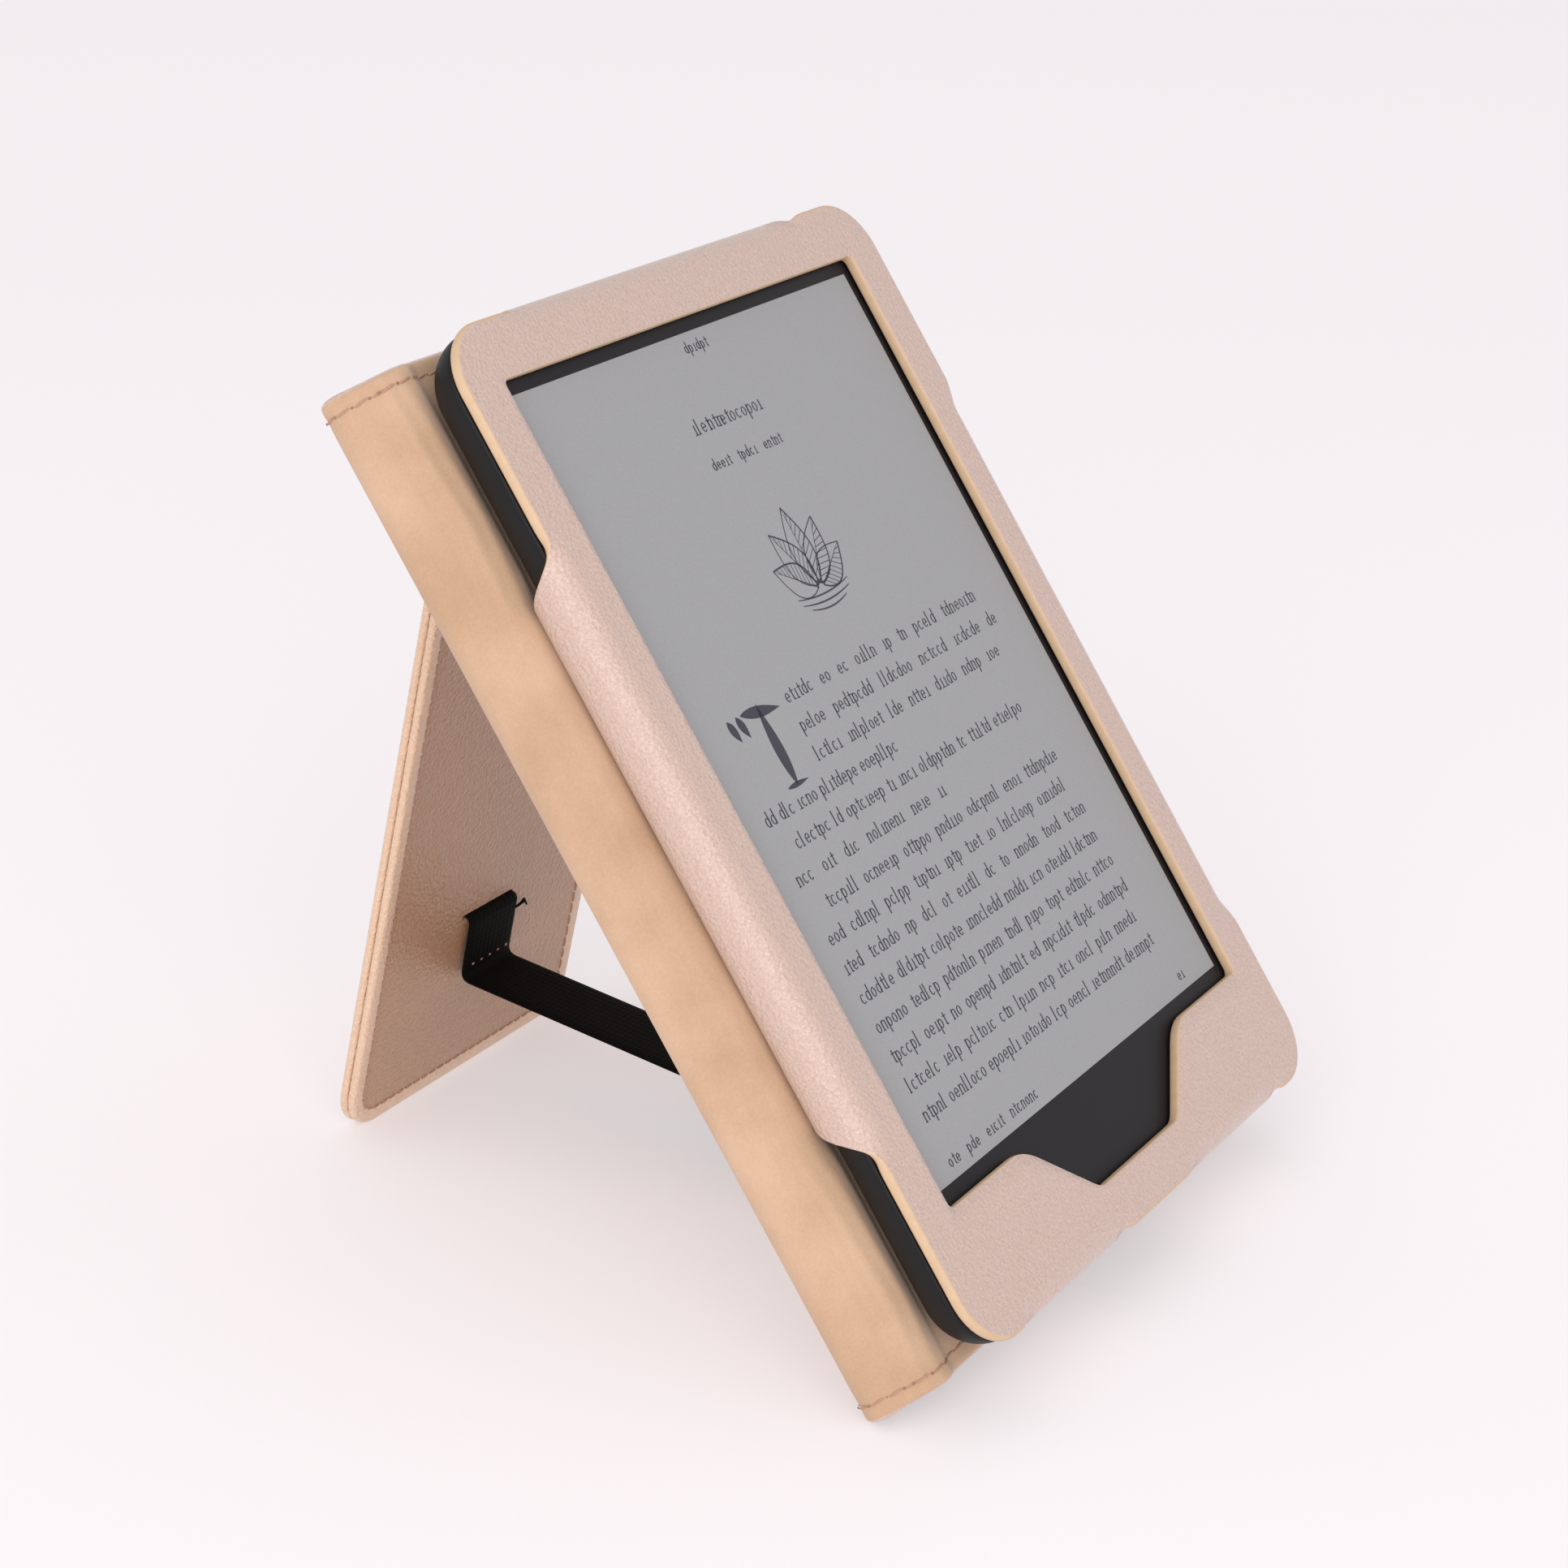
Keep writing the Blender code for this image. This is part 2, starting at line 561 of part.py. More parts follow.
def spine():
    """The spine between the back panel and the cover, and its two leather hinges."""
    layers = [
        ("spine_board", 0.5, SPINE_LENGTH - 0.5, -BOARD / 2, BOARD / 2, CARD, 1.5),
        ("spine_lining", 0.0, SPINE_LENGTH, -BOARD / 2 - GAP - SKIN, -BOARD / 2 - GAP, LINING, 0.0),
        ("spine_leather", 0.0, SPINE_LENGTH, BOARD / 2 + GAP, BOARD / 2 + GAP + SKIN, ROSE_LEATHER, 0.0),
    ]
    for name, start, end, inner, outer, material, inset in layers:
        section = [
            along_spine(start, inner),
            along_spine(end, inner),
            along_spine(end, outer),
            along_spine(start, outer),
        ]
        solid = prism([section], PANEL_BOTTOM + inset, PANEL_TOP - inset, "Y")
        place(solid, name, material, SPINE)
    hinge_mid = BACK_TOP_Z - SKIN - GAP - BOARD / 2
    near = [
        Vector((PANEL_LEFT - GAP, hinge_mid + BOARD / 2)),
        Vector((PANEL_LEFT - GAP, hinge_mid - BOARD / 2)),
        along_spine(-GAP - 0.2, BOARD / 2),
        along_spine(-GAP - 0.2, -BOARD / 2),
    ]
    place(prism([near], PANEL_BOTTOM, PANEL_TOP, "Y"), "back_hinge_leather", ROSE_LEATHER, READER)
    middle = along_spine(SPINE_LENGTH, FOLD_RADIUS)
    steps = 8
    outer = []
    inner = []
    first = SPINE_ANGLE - math.pi / 2 + 0.18
    last = 1.5 * math.pi - 0.02
    for step in range(steps + 1):
        angle = first + (last - first) * step / steps
        ray = Vector((math.cos(angle), math.sin(angle)))
        outer.append(middle + ray * (FOLD_RADIUS + HINGE_LEATHER_HALF))
        inner.append(middle + ray * (FOLD_RADIUS - HINGE_LEATHER_HALF))
    fold = prism([outer + inner[::-1]], PANEL_BOTTOM + FOOT_CUT, PANEL_TOP, "Y")
    place(fold, "cover_hinge_leather", ROSE_LEATHER, SPINE)


def ground_cutter(height):
    """A block below a level plane, for the faces that the part stands on.

    The height is measured in the reader's frame along the upward direction.
    """
    slab = block((-200, -200, -60), (200, 200, 0))
    slab.rotation_euler = (LEAN - math.pi / 2, 0, 0)
    slab.location = UP * height * MM
    return slab


def cover():
    """The folded cover behind the reader. Its lining faces back, its leather faces the reader."""
    lining_high = COVER_LINING_LOW + SKIN
    board_low = lining_high + GAP
    leather_low = board_low + BOARD + GAP
    lining = panel("cover_lining", COVER_LEFT, COVER_RIGHT, COVER_LINING_LOW, lining_high, LINING, COVER)
    cut(lining, ground_cutter(GROUND))
    magnets = rectangle(44.7, 59.3, -30.3, -9.7, 1.0, 3)
    inset = 1.5
    outline = rectangle(COVER_LEFT + inset, COVER_RIGHT - inset, PANEL_BOTTOM + inset, PANEL_TOP - inset, 3.0)
    card = prism([outline, magnets], board_low, board_low + BOARD)
    place(card, "cover_board", CARD, COVER)
    magnet = block((45.0, -30.0, board_low + 0.05), (59.0, -10.0, board_low + BOARD - 0.05), 0.2)
    place(magnet, "cover_magnet", STEEL, COVER)
    panel("cover_leather", COVER_LEFT, COVER_RIGHT, leather_low, leather_low + SKIN, ROSE_LEATHER, COVER)


def leg_length():
    """How far the leg's foot is from its hinge, so that the foot stands on the ground."""
    down = Vector((0, -math.cos(LEG_ANGLE), -math.sin(LEG_ANGLE)))
    return (GROUND - UP.dot(LEG_HINGE)) / UP.dot(down)


LEG_LENGTH = leg_length()


def leg_layer(name, low_z, high_z, inset, material, slot):
    """One layer of the leg, in the hinge's own frame: the leg runs down -Y."""
    foot = -LEG_LENGTH - LEG_OVERHANG + inset
    half = LEG_HALF_WIDTH - inset
    corners = [(-half, foot), (half, foot), (half, -LEG_START - inset), (-half, -LEG_START - inset)]
    outlines = [fillet(corners, [LEG_CORNER, LEG_CORNER, 2.0, 2.0], 6)]
    if slot:
        x = STRAP_CENTRE_X - LEG_CENTRE_X
        y = -LEG_LENGTH + SLOT_FOOT_DISTANCE
        long = SLOT_HALF_LENGTH
        wide = SLOT_HALF_WIDTH
        outlines.append(rectangle(x - long, x + long, y - wide, y + wide, 0.5, 2))
    solid = prism(outlines, low_z, high_z)
    return place(solid, name, material, LEG)


def kickstand():
    """The stitched leg, its fabric hinge and the strap that stops it."""
    board_high = -LEG_SKIN - GAP
    outer_high = board_high - LEG_BOARD - GAP
    inner = leg_layer("stand_inner_leather", -LEG_SKIN, 0.0, 0.0, ROSE_LEATHER, True)
    cut(inner, ground_cutter(GROUND))
    leg_layer("stand_board", board_high - LEG_BOARD, board_high, 1.5, CARD, False)
    outer = leg_layer("stand_outer_leather", outer_high - LEG_SKIN, outer_high, 0.0, ROSE_LEATHER, False)
    cut(outer, ground_cutter(GROUND))
    x = STRAP_CENTRE_X - LEG_CENTRE_X
    y = -LEG_LENGTH + STRAP_FOOT_DISTANCE
    tab_low = y + 1.0
    tab_high = -LEG_LENGTH + SLOT_FOOT_DISTANCE - 1.4
    half = STRAP_WIDTH / 2
    tab = block((x - half, tab_low, GAP), (x + half, tab_high, GAP + STRAP_THICK), 0.2)
    place(tab, "strap_tab", WEBBING, LEG)
    half = LEG_HALF_WIDTH - 1.0
    low = (LEG_CENTRE_X - half, LEG_HINGE_Y + 0.2, COVER_LINING_LOW - GAP - SKIN)
    high = (LEG_CENTRE_X + half, PANEL_TOP - 2.5, COVER_LINING_LOW - GAP)
    place(block(low, high), "stand_hinge_leather", ROSE_LEATHER, COVER)
    down = Vector((-math.cos(LEG_ANGLE), -math.sin(LEG_ANGLE)))
    inward = Vector((-math.sin(LEG_ANGLE), math.cos(LEG_ANGLE)))
    hinge = Vector((LEG_HINGE_Y, LEG_HINGE_Z))
    start = hinge + down * (LEG_LENGTH - STRAP_FOOT_DISTANCE) + inward * (GAP * 2 + STRAP_THICK)
    end = Vector((STRAP_COVER_Y, COVER_LINING_LOW - 2 * GAP - 0.2))
    side = (end - start).normalized()
    across = Vector((-side.y, side.x)) * STRAP_THICK / 2
    section = [start - across, end - across, end + across, start + across]
    left = STRAP_CENTRE_X - STRAP_WIDTH / 2
    strap = prism([section], left, left + STRAP_WIDTH, "X")
    place(strap, "elastic_strap", WEBBING, COVER)


def stand_on_the_ground():
    """Move the whole part so that it stands on Z = 0 with the origin under its middle."""
    bpy.context.view_layer.update()
    depsgraph = bpy.context.evaluated_depsgraph_get()
    low = Vector((1e9, 1e9, 1e9))
    high = -low
    for item in parts.objects:
        if item.type != "MESH":
            continue
        seen = item.evaluated_get(depsgraph)
        for vertex in seen.data.vertices:
            point = seen.matrix_world @ vertex.co
            low = Vector(map(min, low, point))
            high = Vector(map(max, high, point))
    READER.location -= Vector(((low.x + high.x) / 2, (low.y + high.y) / 2, low.z))


rear_housing()
display_stack()
metal_frame()
electronics()
case_front()
case_back()
spine()
cover()
kickstand()
stand_on_the_ground()
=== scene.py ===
"""E-reader in a folding leather case: the finished looks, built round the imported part.

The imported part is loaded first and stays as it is. Each leather, lining, strap and page piece
is worked out here in the reader's own frame, in millimetres: X to the right, Y up the screen,
Z out of the screen, with the origin in the middle of the display. The kickstand's pieces are
worked out in the leg's own frame, with Y up the leg and Z out of its inner face.
"""

import json
import math
from collections import namedtuple

import bmesh
import bpy
import numpy as np
from mathutils import Matrix, Vector


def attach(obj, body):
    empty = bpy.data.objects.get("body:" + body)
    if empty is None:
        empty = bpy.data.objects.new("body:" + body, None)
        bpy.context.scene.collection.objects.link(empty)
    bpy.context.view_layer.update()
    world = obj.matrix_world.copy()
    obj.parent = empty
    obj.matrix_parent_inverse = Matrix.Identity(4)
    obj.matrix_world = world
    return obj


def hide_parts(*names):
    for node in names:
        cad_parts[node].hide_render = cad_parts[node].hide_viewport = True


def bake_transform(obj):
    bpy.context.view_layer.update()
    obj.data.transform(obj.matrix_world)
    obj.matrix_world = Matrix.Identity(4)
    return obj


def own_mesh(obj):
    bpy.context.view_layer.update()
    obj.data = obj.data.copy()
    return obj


bl_info = {
    "name": "E-reader in a Folding Case",
    "version": (1, 0, 0),
    "blender": (4, 5, 0),
    "location": "View3D > Sidebar > E-reader",
    "description": "Builds the leather, lining, strap, page and materials of an e-reader and its case",
    "category": "Object",
}

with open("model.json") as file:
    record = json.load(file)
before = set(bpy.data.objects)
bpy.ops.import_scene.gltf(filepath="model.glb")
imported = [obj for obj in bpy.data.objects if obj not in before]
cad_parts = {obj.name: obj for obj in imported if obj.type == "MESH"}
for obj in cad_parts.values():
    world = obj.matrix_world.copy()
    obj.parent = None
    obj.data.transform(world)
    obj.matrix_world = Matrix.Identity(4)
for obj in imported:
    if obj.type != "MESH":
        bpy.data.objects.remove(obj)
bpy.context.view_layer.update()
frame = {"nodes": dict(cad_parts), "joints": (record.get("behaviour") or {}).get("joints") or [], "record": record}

MM = 0.001
LocalFrame = namedtuple("LocalFrame", "origin basis")


# Where things are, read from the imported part.


def node_points(node):
    """A CAD node's corners in the row frame, in metres."""
    mesh = frame["nodes"][node].data
    flat = np.empty(len(mesh.vertices) * 3, np.float32)
    mesh.vertices.foreach_get("co", flat)
    return flat.reshape(-1, 3).astype(float)


def to_row(local, points):
    """Points of a local frame in millimetres, turned and moved into the row frame in metres."""
    return local.origin + (np.asarray(points, float) * MM) @ local.basis.T


def to_local(local, points):
    """Points of the row frame in metres, as millimetres of a local frame."""
    return (np.asarray(points, float) - local.origin) @ local.basis / MM


def node_box(local, node):
    """Lowest and highest corner of a CAD node along a local frame's own axes, in millimetres."""
    points = to_local(local, node_points(node))
    return points.min(0), points.max(0)


def joint(name):
    """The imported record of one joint."""
    return next(entry for entry in frame["joints"] if entry["name"] == name)


def reader_frame():
    """The frame of the screen: its Y is the spine's hinge line, its Z the glass's outward side."""
    across = np.array((1.0, 0.0, 0.0))
    up = np.array(joint("spine_fold")["axis"], float)
    basis = np.stack([across, up / np.linalg.norm(up), np.cross(across, up)], 1)
    glass = node_points("front_glass") @ basis
    low = glass.min(0)
    high = glass.max(0)
    middle = np.array([(low[0] + high[0]) / 2, (low[1] + high[1]) / 2 + CHIN_OFFSET * MM, high[2]])
    return LocalFrame(basis @ middle, basis)


def leg_frame():
    """The frame of the kickstand: Y up the leg, Z out of its inner face, which is its largest."""
    largest = max(frame["nodes"]["stand_board"].data.polygons, key=lambda face: face.area)
    across = np.array((1.0, 0.0, 0.0))
    up = np.cross(np.array(largest.normal, float), across)
    up = up / np.linalg.norm(up) * np.sign(up[2])
    basis = np.stack([across, up, np.cross(across, up)], 1)
    return LocalFrame(np.array(joint("stand_fold")["pos_m"], float), basis)


# The glass is longer below the display than above it, by twice this much.
CHIN_OFFSET = 6.2
READER = reader_frame()
LEG = leg_frame()

# The leg's frame is centred on the leg, which stands a little to the right of the display.
LEG_SHIFT = float(to_local(READER, LEG.origin)[0])


# Meshes from grids.


def smooth_step(x, start=0.0, end=1.0):
    """0 before start, 1 after end, and three t squared less two t cubed between."""
    t = np.clip((np.asarray(x, float) - start) / (end - start), 0.0, 1.0)
    return t * t * (3 - 2 * t)


def spread(low, high, step, fine=None, spots=(), width=4.0):
    """Positions from low to high, a step apart, and closer together round each spot.

    The number of points per millimetre is 1 / step, plus 1 / fine times a bell curve at each spot.
    """
    dense = np.linspace(low, high, 3000)
    density = np.full_like(dense, 1.0 / step)
    for spot in spots:
        density += np.exp(-(((dense - spot) / width) ** 2)) / fine
    total = np.concatenate([[0.0], np.cumsum((density[1:] + density[:-1]) / 2 * np.diff(dense))])
    count = int(math.ceil(total[-1])) + 1
    return np.interp(np.linspace(0, total[-1], count), total, dense)


def unit(vectors):
    """Vectors of the same directions and length one."""
    return vectors / np.maximum(np.linalg.norm(vectors, axis=-1, keepdims=True), 1e-12)


def run_lengths(line):
    """How far along a line each of its points is."""
    return np.concatenate([[0.0], np.cumsum(np.linalg.norm(np.diff(line, axis=0), axis=1))])


def read_off(places, lengths, line):
    """The points of a line at given lengths along it."""
    return np.stack([np.interp(places, lengths, line[:, axis]) for axis in range(line.shape[1])], 1)


def rim_distance(past_x, past_y, corner):
    """How far inside a round-cornered outline each point is.

    Past_x and past_y say how far a point is beyond the corner's centre. The distance is the
    corner's radius less the hypotenuse of their positive parts, or less the larger if both are below 0.
    """
    beyond = np.hypot(np.clip(past_x, 0, None), np.clip(past_y, 0, None))
    return corner - (beyond + np.minimum(np.maximum(past_x, past_y), 0))


def rounded_edge(rim, reach):
    """A share of the thickness that falls to 0 at the rim as a quarter of an ellipse."""
    return np.sqrt(1 - (1 - np.clip(rim / reach, 0, 1)) ** 2)


def fan(ring, centre):
    """Triangles from each side of a ring of points to one middle point."""
    return np.stack([ring, np.roll(ring, -1), np.full(len(ring), centre)], 1)


def quads(rows, columns, close_rows=False, close_columns=False):
    """The faces between neighbouring points of a grid stored row by row."""
    row = np.arange(rows if close_rows else rows - 1)
    column = np.arange(columns if close_columns else columns - 1)
    row, column = np.meshgrid(row, column, indexing="ij")
    next_row = (row + 1) % rows
    next_column = (column + 1) % columns
    corners = [
        row * columns + column,
        row * columns + next_column,
        next_row * columns + next_column,
        next_row * columns + column,
    ]
    return np.stack(corners, -1).reshape(-1, 4)


def make_piece(name, local, points, faces, finishes, bands=None, cloth=None):
    """One closed object from points in a local frame.

    Points that meet are merged, which closes the seams, and the faces are turned outwards.
    Bands give each face its finish, and cloth its place along and across a strip, in metres.
    """
    mesh = bpy.data.meshes.new(name)
    mesh.from_pydata(to_row(local, points).tolist(), [], [list(face) for face in faces])
    for finish in finishes:
        mesh.materials.append(finish)
    if bands is not None:
        mesh.polygons.foreach_set("material_index", np.asarray(bands, np.int32))
    if cloth is not None:
        attribute = mesh.attributes.new("cloth", "FLOAT_VECTOR", "POINT")
        attribute.data.foreach_set("vector", np.asarray(cloth, np.float32).ravel())
    shape = bmesh.new()
    shape.from_mesh(mesh)
    bmesh.ops.remove_doubles(shape, verts=shape.verts, dist=2e-6)
    bmesh.ops.recalc_face_normals(shape, faces=shape.faces)
    shape.to_mesh(mesh)
    shape.free()
    mesh.polygons.foreach_set("use_smooth", np.ones(len(mesh.polygons), bool))
    mesh.update()
    mesh.set_sharp_from_angle(angle=math.radians(64))
    piece = bpy.data.objects.new(name, mesh)
    bpy.context.scene.collection.objects.link(piece)
    return piece


def two_skins(front, back, hole=None, close_columns=False, bands=None):
    """Two grids of the same shape joined round their edges into one closed body.

    A hole is (first row, last row, first column, last column); its cells are left out of both
    grids and walled. Returns points, faces and each face's band: the front's own, the back's 1
    and the walls' 2, unless the front's bands are given as a grid of cells.
    """
    rows, columns = front.shape[:2]
    count = rows * columns
    points = np.concatenate([front.reshape(-1, 3), back.reshape(-1, 3)])
    cells = quads(rows, columns, close_columns=close_columns)
    wide = columns if close_columns else columns - 1
    keep = np.ones((rows - 1, wide), bool)
    front_bands = np.zeros((rows - 1, wide), int) if bands is None else np.asarray(bands)
    at = np.arange(count).reshape(rows, columns)
    loops = []
    for r0, r1, c0, c1 in hole or []:
        keep[r0:r1, c0:c1] = False
        ring = [at[r0, c0:c1], at[r0:r1, c1], at[r1, c1:c0:-1], at[r1:r0:-1, c0]]
        loops.append(np.concatenate(ring))
    if close_columns:
        loops += [at[0], at[-1]]
    else:
        loops.append(np.concatenate([at[0, :-1], at[:-1, -1], at[-1, :0:-1], at[:0:-1, 0]]))
    kept = keep.ravel()
    faces = [cells[kept], cells[kept][:, ::-1] + count]
    all_bands = [front_bands.ravel()[kept], np.ones(kept.sum(), int)]
    for loop in loops:
        after = np.roll(loop, -1)
        faces.append(np.stack([loop, after, after + count, loop + count], -1))
        all_bands.append(np.full(len(loop), 2))
    return points, np.concatenate(faces), np.concatenate(all_bands)


def blocks(low, high):
    """Many small boxes, each from its lowest to its highest corner."""
    low = np.asarray(low, float)
    high = np.asarray(high, float)
    pick = np.array([(x, y, z) for z in (0, 1) for y in (0, 1) for x in (0, 1)])
    points = np.where(pick[None] == 1, high[:, None], low[:, None])
    sides = np.array([(0, 2, 3, 1), (4, 5, 7, 6), (0, 1, 5, 4), (2, 6, 7, 3), (0, 4, 6, 2), (1, 3, 7, 5)])
    faces = sides[None] + 8 * np.arange(len(low))[:, None, None]
    return points.reshape(-1, 3), faces.reshape(-1, 4)


def beads(centres, along, across, up, sizes):
    """Many small rounded beads, such as stitches: each is an ellipsoid on its own three directions.

    A bead's point is its centre plus each direction times that half size times a unit sphere's.
    """
    rings = 4
    sides = 6
    latitude = np.linspace(0, math.pi, rings + 1)[1:-1]
    longitude = np.linspace(0, 2 * math.pi, sides, endpoint=False)
    ring, turn = np.meshgrid(latitude, longitude, indexing="ij")
    body = np.stack([np.cos(ring), np.sin(ring) * np.cos(turn), np.sin(ring) * np.sin(turn)], -1)
    sphere = np.concatenate([body.reshape(-1, 3), [(1, 0, 0), (-1, 0, 0)]])
    each = len(sphere)
    tube = quads(rings - 1, sides, close_columns=True)
    first_ring = np.arange(sides)
    last_ring = first_ring + (rings - 2) * sides
    ends = np.concatenate([fan(first_ring[::-1], each - 2), fan(last_ring, each - 1)])
    scaled = sphere * np.asarray(sizes, float)
    basis = np.stack([along, across, up], 1)
    points = np.asarray(centres)[:, None] + np.einsum("pk,nkc->npc", scaled, basis)
    shift = np.arange(len(centres))[:, None, None] * each
    faces = (tube + shift).reshape(-1, 4).tolist() + (ends + shift).reshape(-1, 3).tolist()
    return points.reshape(-1, 3), faces


def rectangle_rim(box, radius, sides, corner_steps):
    """Points and outward directions round a rectangle with round corners, anticlockwise.

    Sides are the positions along the right, top, left and bottom sides, without the corners.
    A corner's points are its centre plus the radius times (cos, sin) of the angle.
    """
    left, right, bottom, top = box
    turns = np.linspace(0, math.pi / 2, corner_steps + 2)[1:-1]
    points = []
    outward = []
    centres = [
        (right - radius, top - radius),
        (left + radius, top - radius),
        (left + radius, bottom + radius),
        (right - radius, bottom + radius),
    ]
    fixed = [right, top, left, bottom]
    for side in range(4):
        angle = side * math.pi / 2
        direction = np.array([math.cos(angle), math.sin(angle)])
        positions = sides[side]
        other = np.full(len(positions), fixed[side])
        pair = [other, positions] if side % 2 == 0 else [positions, other]
        points.append(np.stack(pair, 1))
        outward.append(np.tile(direction, (len(positions), 1)))
        round_way = np.stack([np.cos(angle + turns), np.sin(angle + turns)], 1)
        points.append(np.array(centres[side]) + radius * round_way)
        outward.append(round_way)
    return np.concatenate(points), np.concatenate(outward)


# Materials.


def linear(hex_colour):
    """An sRGB hex colour as linear red, green, blue and alpha."""
    bytes_ = [int(hex_colour[i : i + 2], 16) / 255 for i in (0, 2, 4)]
    return [c / 12.92 if c <= 0.04045 else ((c + 0.055) / 1.055) ** 2.4 for c in bytes_] + [1.0]


def add(tree, kind, inputs=None, **settings):
    """Add a node with its settings; an input is a value, or a (node, output) pair to link."""
    node = tree.nodes.new(kind)
    for name, value in settings.items():
        setattr(node, name, value)
    for name, value in (inputs or {}).items():
        if isinstance(value, tuple) and isinstance(value[0], bpy.types.Node):
            tree.links.new(value[0].outputs[value[1]], node.inputs[name])
        else:
            node.inputs[name].default_value = value
    return node


def new_finish(name, colour, **values):
    """A Principled material in one colour. Returns it with its tree and shader."""
    material = bpy.data.materials.new(name)
    material.use_nodes = True
    shader = material.node_tree.nodes["Principled BSDF"]
    shader.inputs["Base Color"].default_value = linear(colour)
    for socket, value in values.items():
        shader.inputs[socket.replace("_", " ").title().replace("Ior", "IOR")].default_value = value
    material.diffuse_color = linear(colour)
    return material, material.node_tree, shader


def two_tone(tree, shader, factor, dark, light):
    """Colour a shader between two hex colours by a (node, output) factor."""
    ramp = add(tree, "ShaderNodeMix", {0: factor}, data_type="RGBA")
    ramp.inputs[6].default_value = linear(dark)
    ramp.inputs[7].default_value = linear(light)
    tree.links.new(ramp.outputs[2], shader.inputs["Base Color"])


def raise_grain(tree, shader, height, depth_mm, strength=1.0):
    """Bump a shader by a (node, output) height, to a real depth."""
    inputs = {"Height": height, "Distance": depth_mm * MM, "Strength": strength}
    bump = add(tree, "ShaderNodeBump", inputs)
    tree.links.new(bump.outputs[0], shader.inputs["Normal"])
    return bump


def case_colours():
    """The colours set in the panel."""
    return bpy.context.scene.case_colours


def per_metre(millimetres):
    """A texture's scale for a feature of this size."""
    return 1.0 / (millimetres * MM)


def rose_leather(name, dark, light):
    """Polyurethane leather on cloth, embossed with a fine pebble under a pearl coat.

    The pebbles' flat tops break its broad highlight into small bright plates.
    """
    material, tree, shader = new_finish(name, light, roughness=0.38, coat_weight=1.0, coat_roughness=0.3)
    shader.inputs["Sheen Weight"].default_value = 0.08
    place = add(tree, "ShaderNodeTexCoord")
    plates = add(tree, "ShaderNodeTexVoronoi", {"Vector": (place, 3), "Scale": per_metre(0.8)})
    crease_inputs = {"Vector": (place, 3), "Scale": per_metre(0.55), "Detail": 4.0, "Distortion": 0.8}
    crease = add(tree, "ShaderNodeTexNoise", crease_inputs)
    height = add(tree, "ShaderNodeMath", {0: (plates, 0), 1: (crease, 0)}, operation="ADD")
    bump = raise_grain(tree, shader, (height, 0), 0.2, 0.85)
    tree.links.new(bump.outputs[0], shader.inputs["Coat Normal"])
    grain = add(tree, "ShaderNodeTexNoise", {"Vector": (place, 3), "Scale": per_metre(0.35), "Detail": 3.0})
    tone = add(tree, "ShaderNodeMapRange", {"Value": (grain, 0), "From Min": 0.35, "From Max": 0.65})
    two_tone(tree, shader, (tone, 0), dark, light)
    return material


def cut_edge():
    """The cut edge of the leather over card, painted cream and slightly glossy, with faint brush marks."""
    material, tree, shader = new_finish("painted_cut_edge", case_colours().edge, roughness=0.5)
    place = add(tree, "ShaderNodeTexCoord")
    brush = add(tree, "ShaderNodeTexNoise", {"Vector": (place, 3), "Scale": per_metre(1.6), "Detail": 4.0})
    raise_grain(tree, shader, (brush, 0), 0.08, 0.4)
    two_tone(tree, shader, (brush, 0), "C9AA88", case_colours().edge)
    return material


def lining():
    """Brushed microfibre. Its nap lies both ways, which leaves soft lighter and darker patches."""
    settings = case_colours()
    material, tree, shader = new_finish("brushed_microfibre", settings.lining, roughness=0.95)
    shader.inputs["Sheen Weight"].default_value = 0.2
    shader.inputs["Sheen Roughness"].default_value = 0.6
    shader.inputs["Specular IOR Level"].default_value = 0.2
    place = add(tree, "ShaderNodeTexCoord")
    nap = add(tree, "ShaderNodeTexNoise", {"Vector": (place, 3), "Scale": per_metre(16.0), "Detail": 3.0})
    fibre = add(tree, "ShaderNodeTexNoise", {"Vector": (place, 3), "Scale": per_metre(0.5), "Detail": 4.0})
    mixed = add(tree, "ShaderNodeMath", {0: (fibre, 0), 1: 0.35}, operation="MULTIPLY")
    both = add(tree, "ShaderNodeMath", {0: (nap, 0), 1: (mixed, 0)}, operation="ADD")
    tone = add(tree, "ShaderNodeMapRange", {"Value": (both, 0), "From Min": 0.45, "From Max": 0.9})
    two_tone(tree, shader, (tone, 0), settings.lining_dark, settings.lining)
    raise_grain(tree, shader, (fibre, 0), 0.09, 0.5)
    return material


def thread():
    """Twisted polyester sewing thread, a little pinker than the leather."""
    material, tree, shader = new_finish("polyester_thread", case_colours().thread, roughness=0.6)
    place = add(tree, "ShaderNodeTexCoord")
    twist = add(tree, "ShaderNodeTexWave", {"Vector": (place, 3), "Scale": per_metre(2.0), "Distortion": 1.5})
    raise_grain(tree, shader, (twist, 1), 0.08, 0.5)
    return material


def needle_hole_painted_shade():
    """The shadow inside a needle's hole."""
    material, _, shader = new_finish("needle_hole_shade", "A07A64", roughness=1.0)
    shader.inputs["Specular IOR Level"].default_value = 0.0
    return material


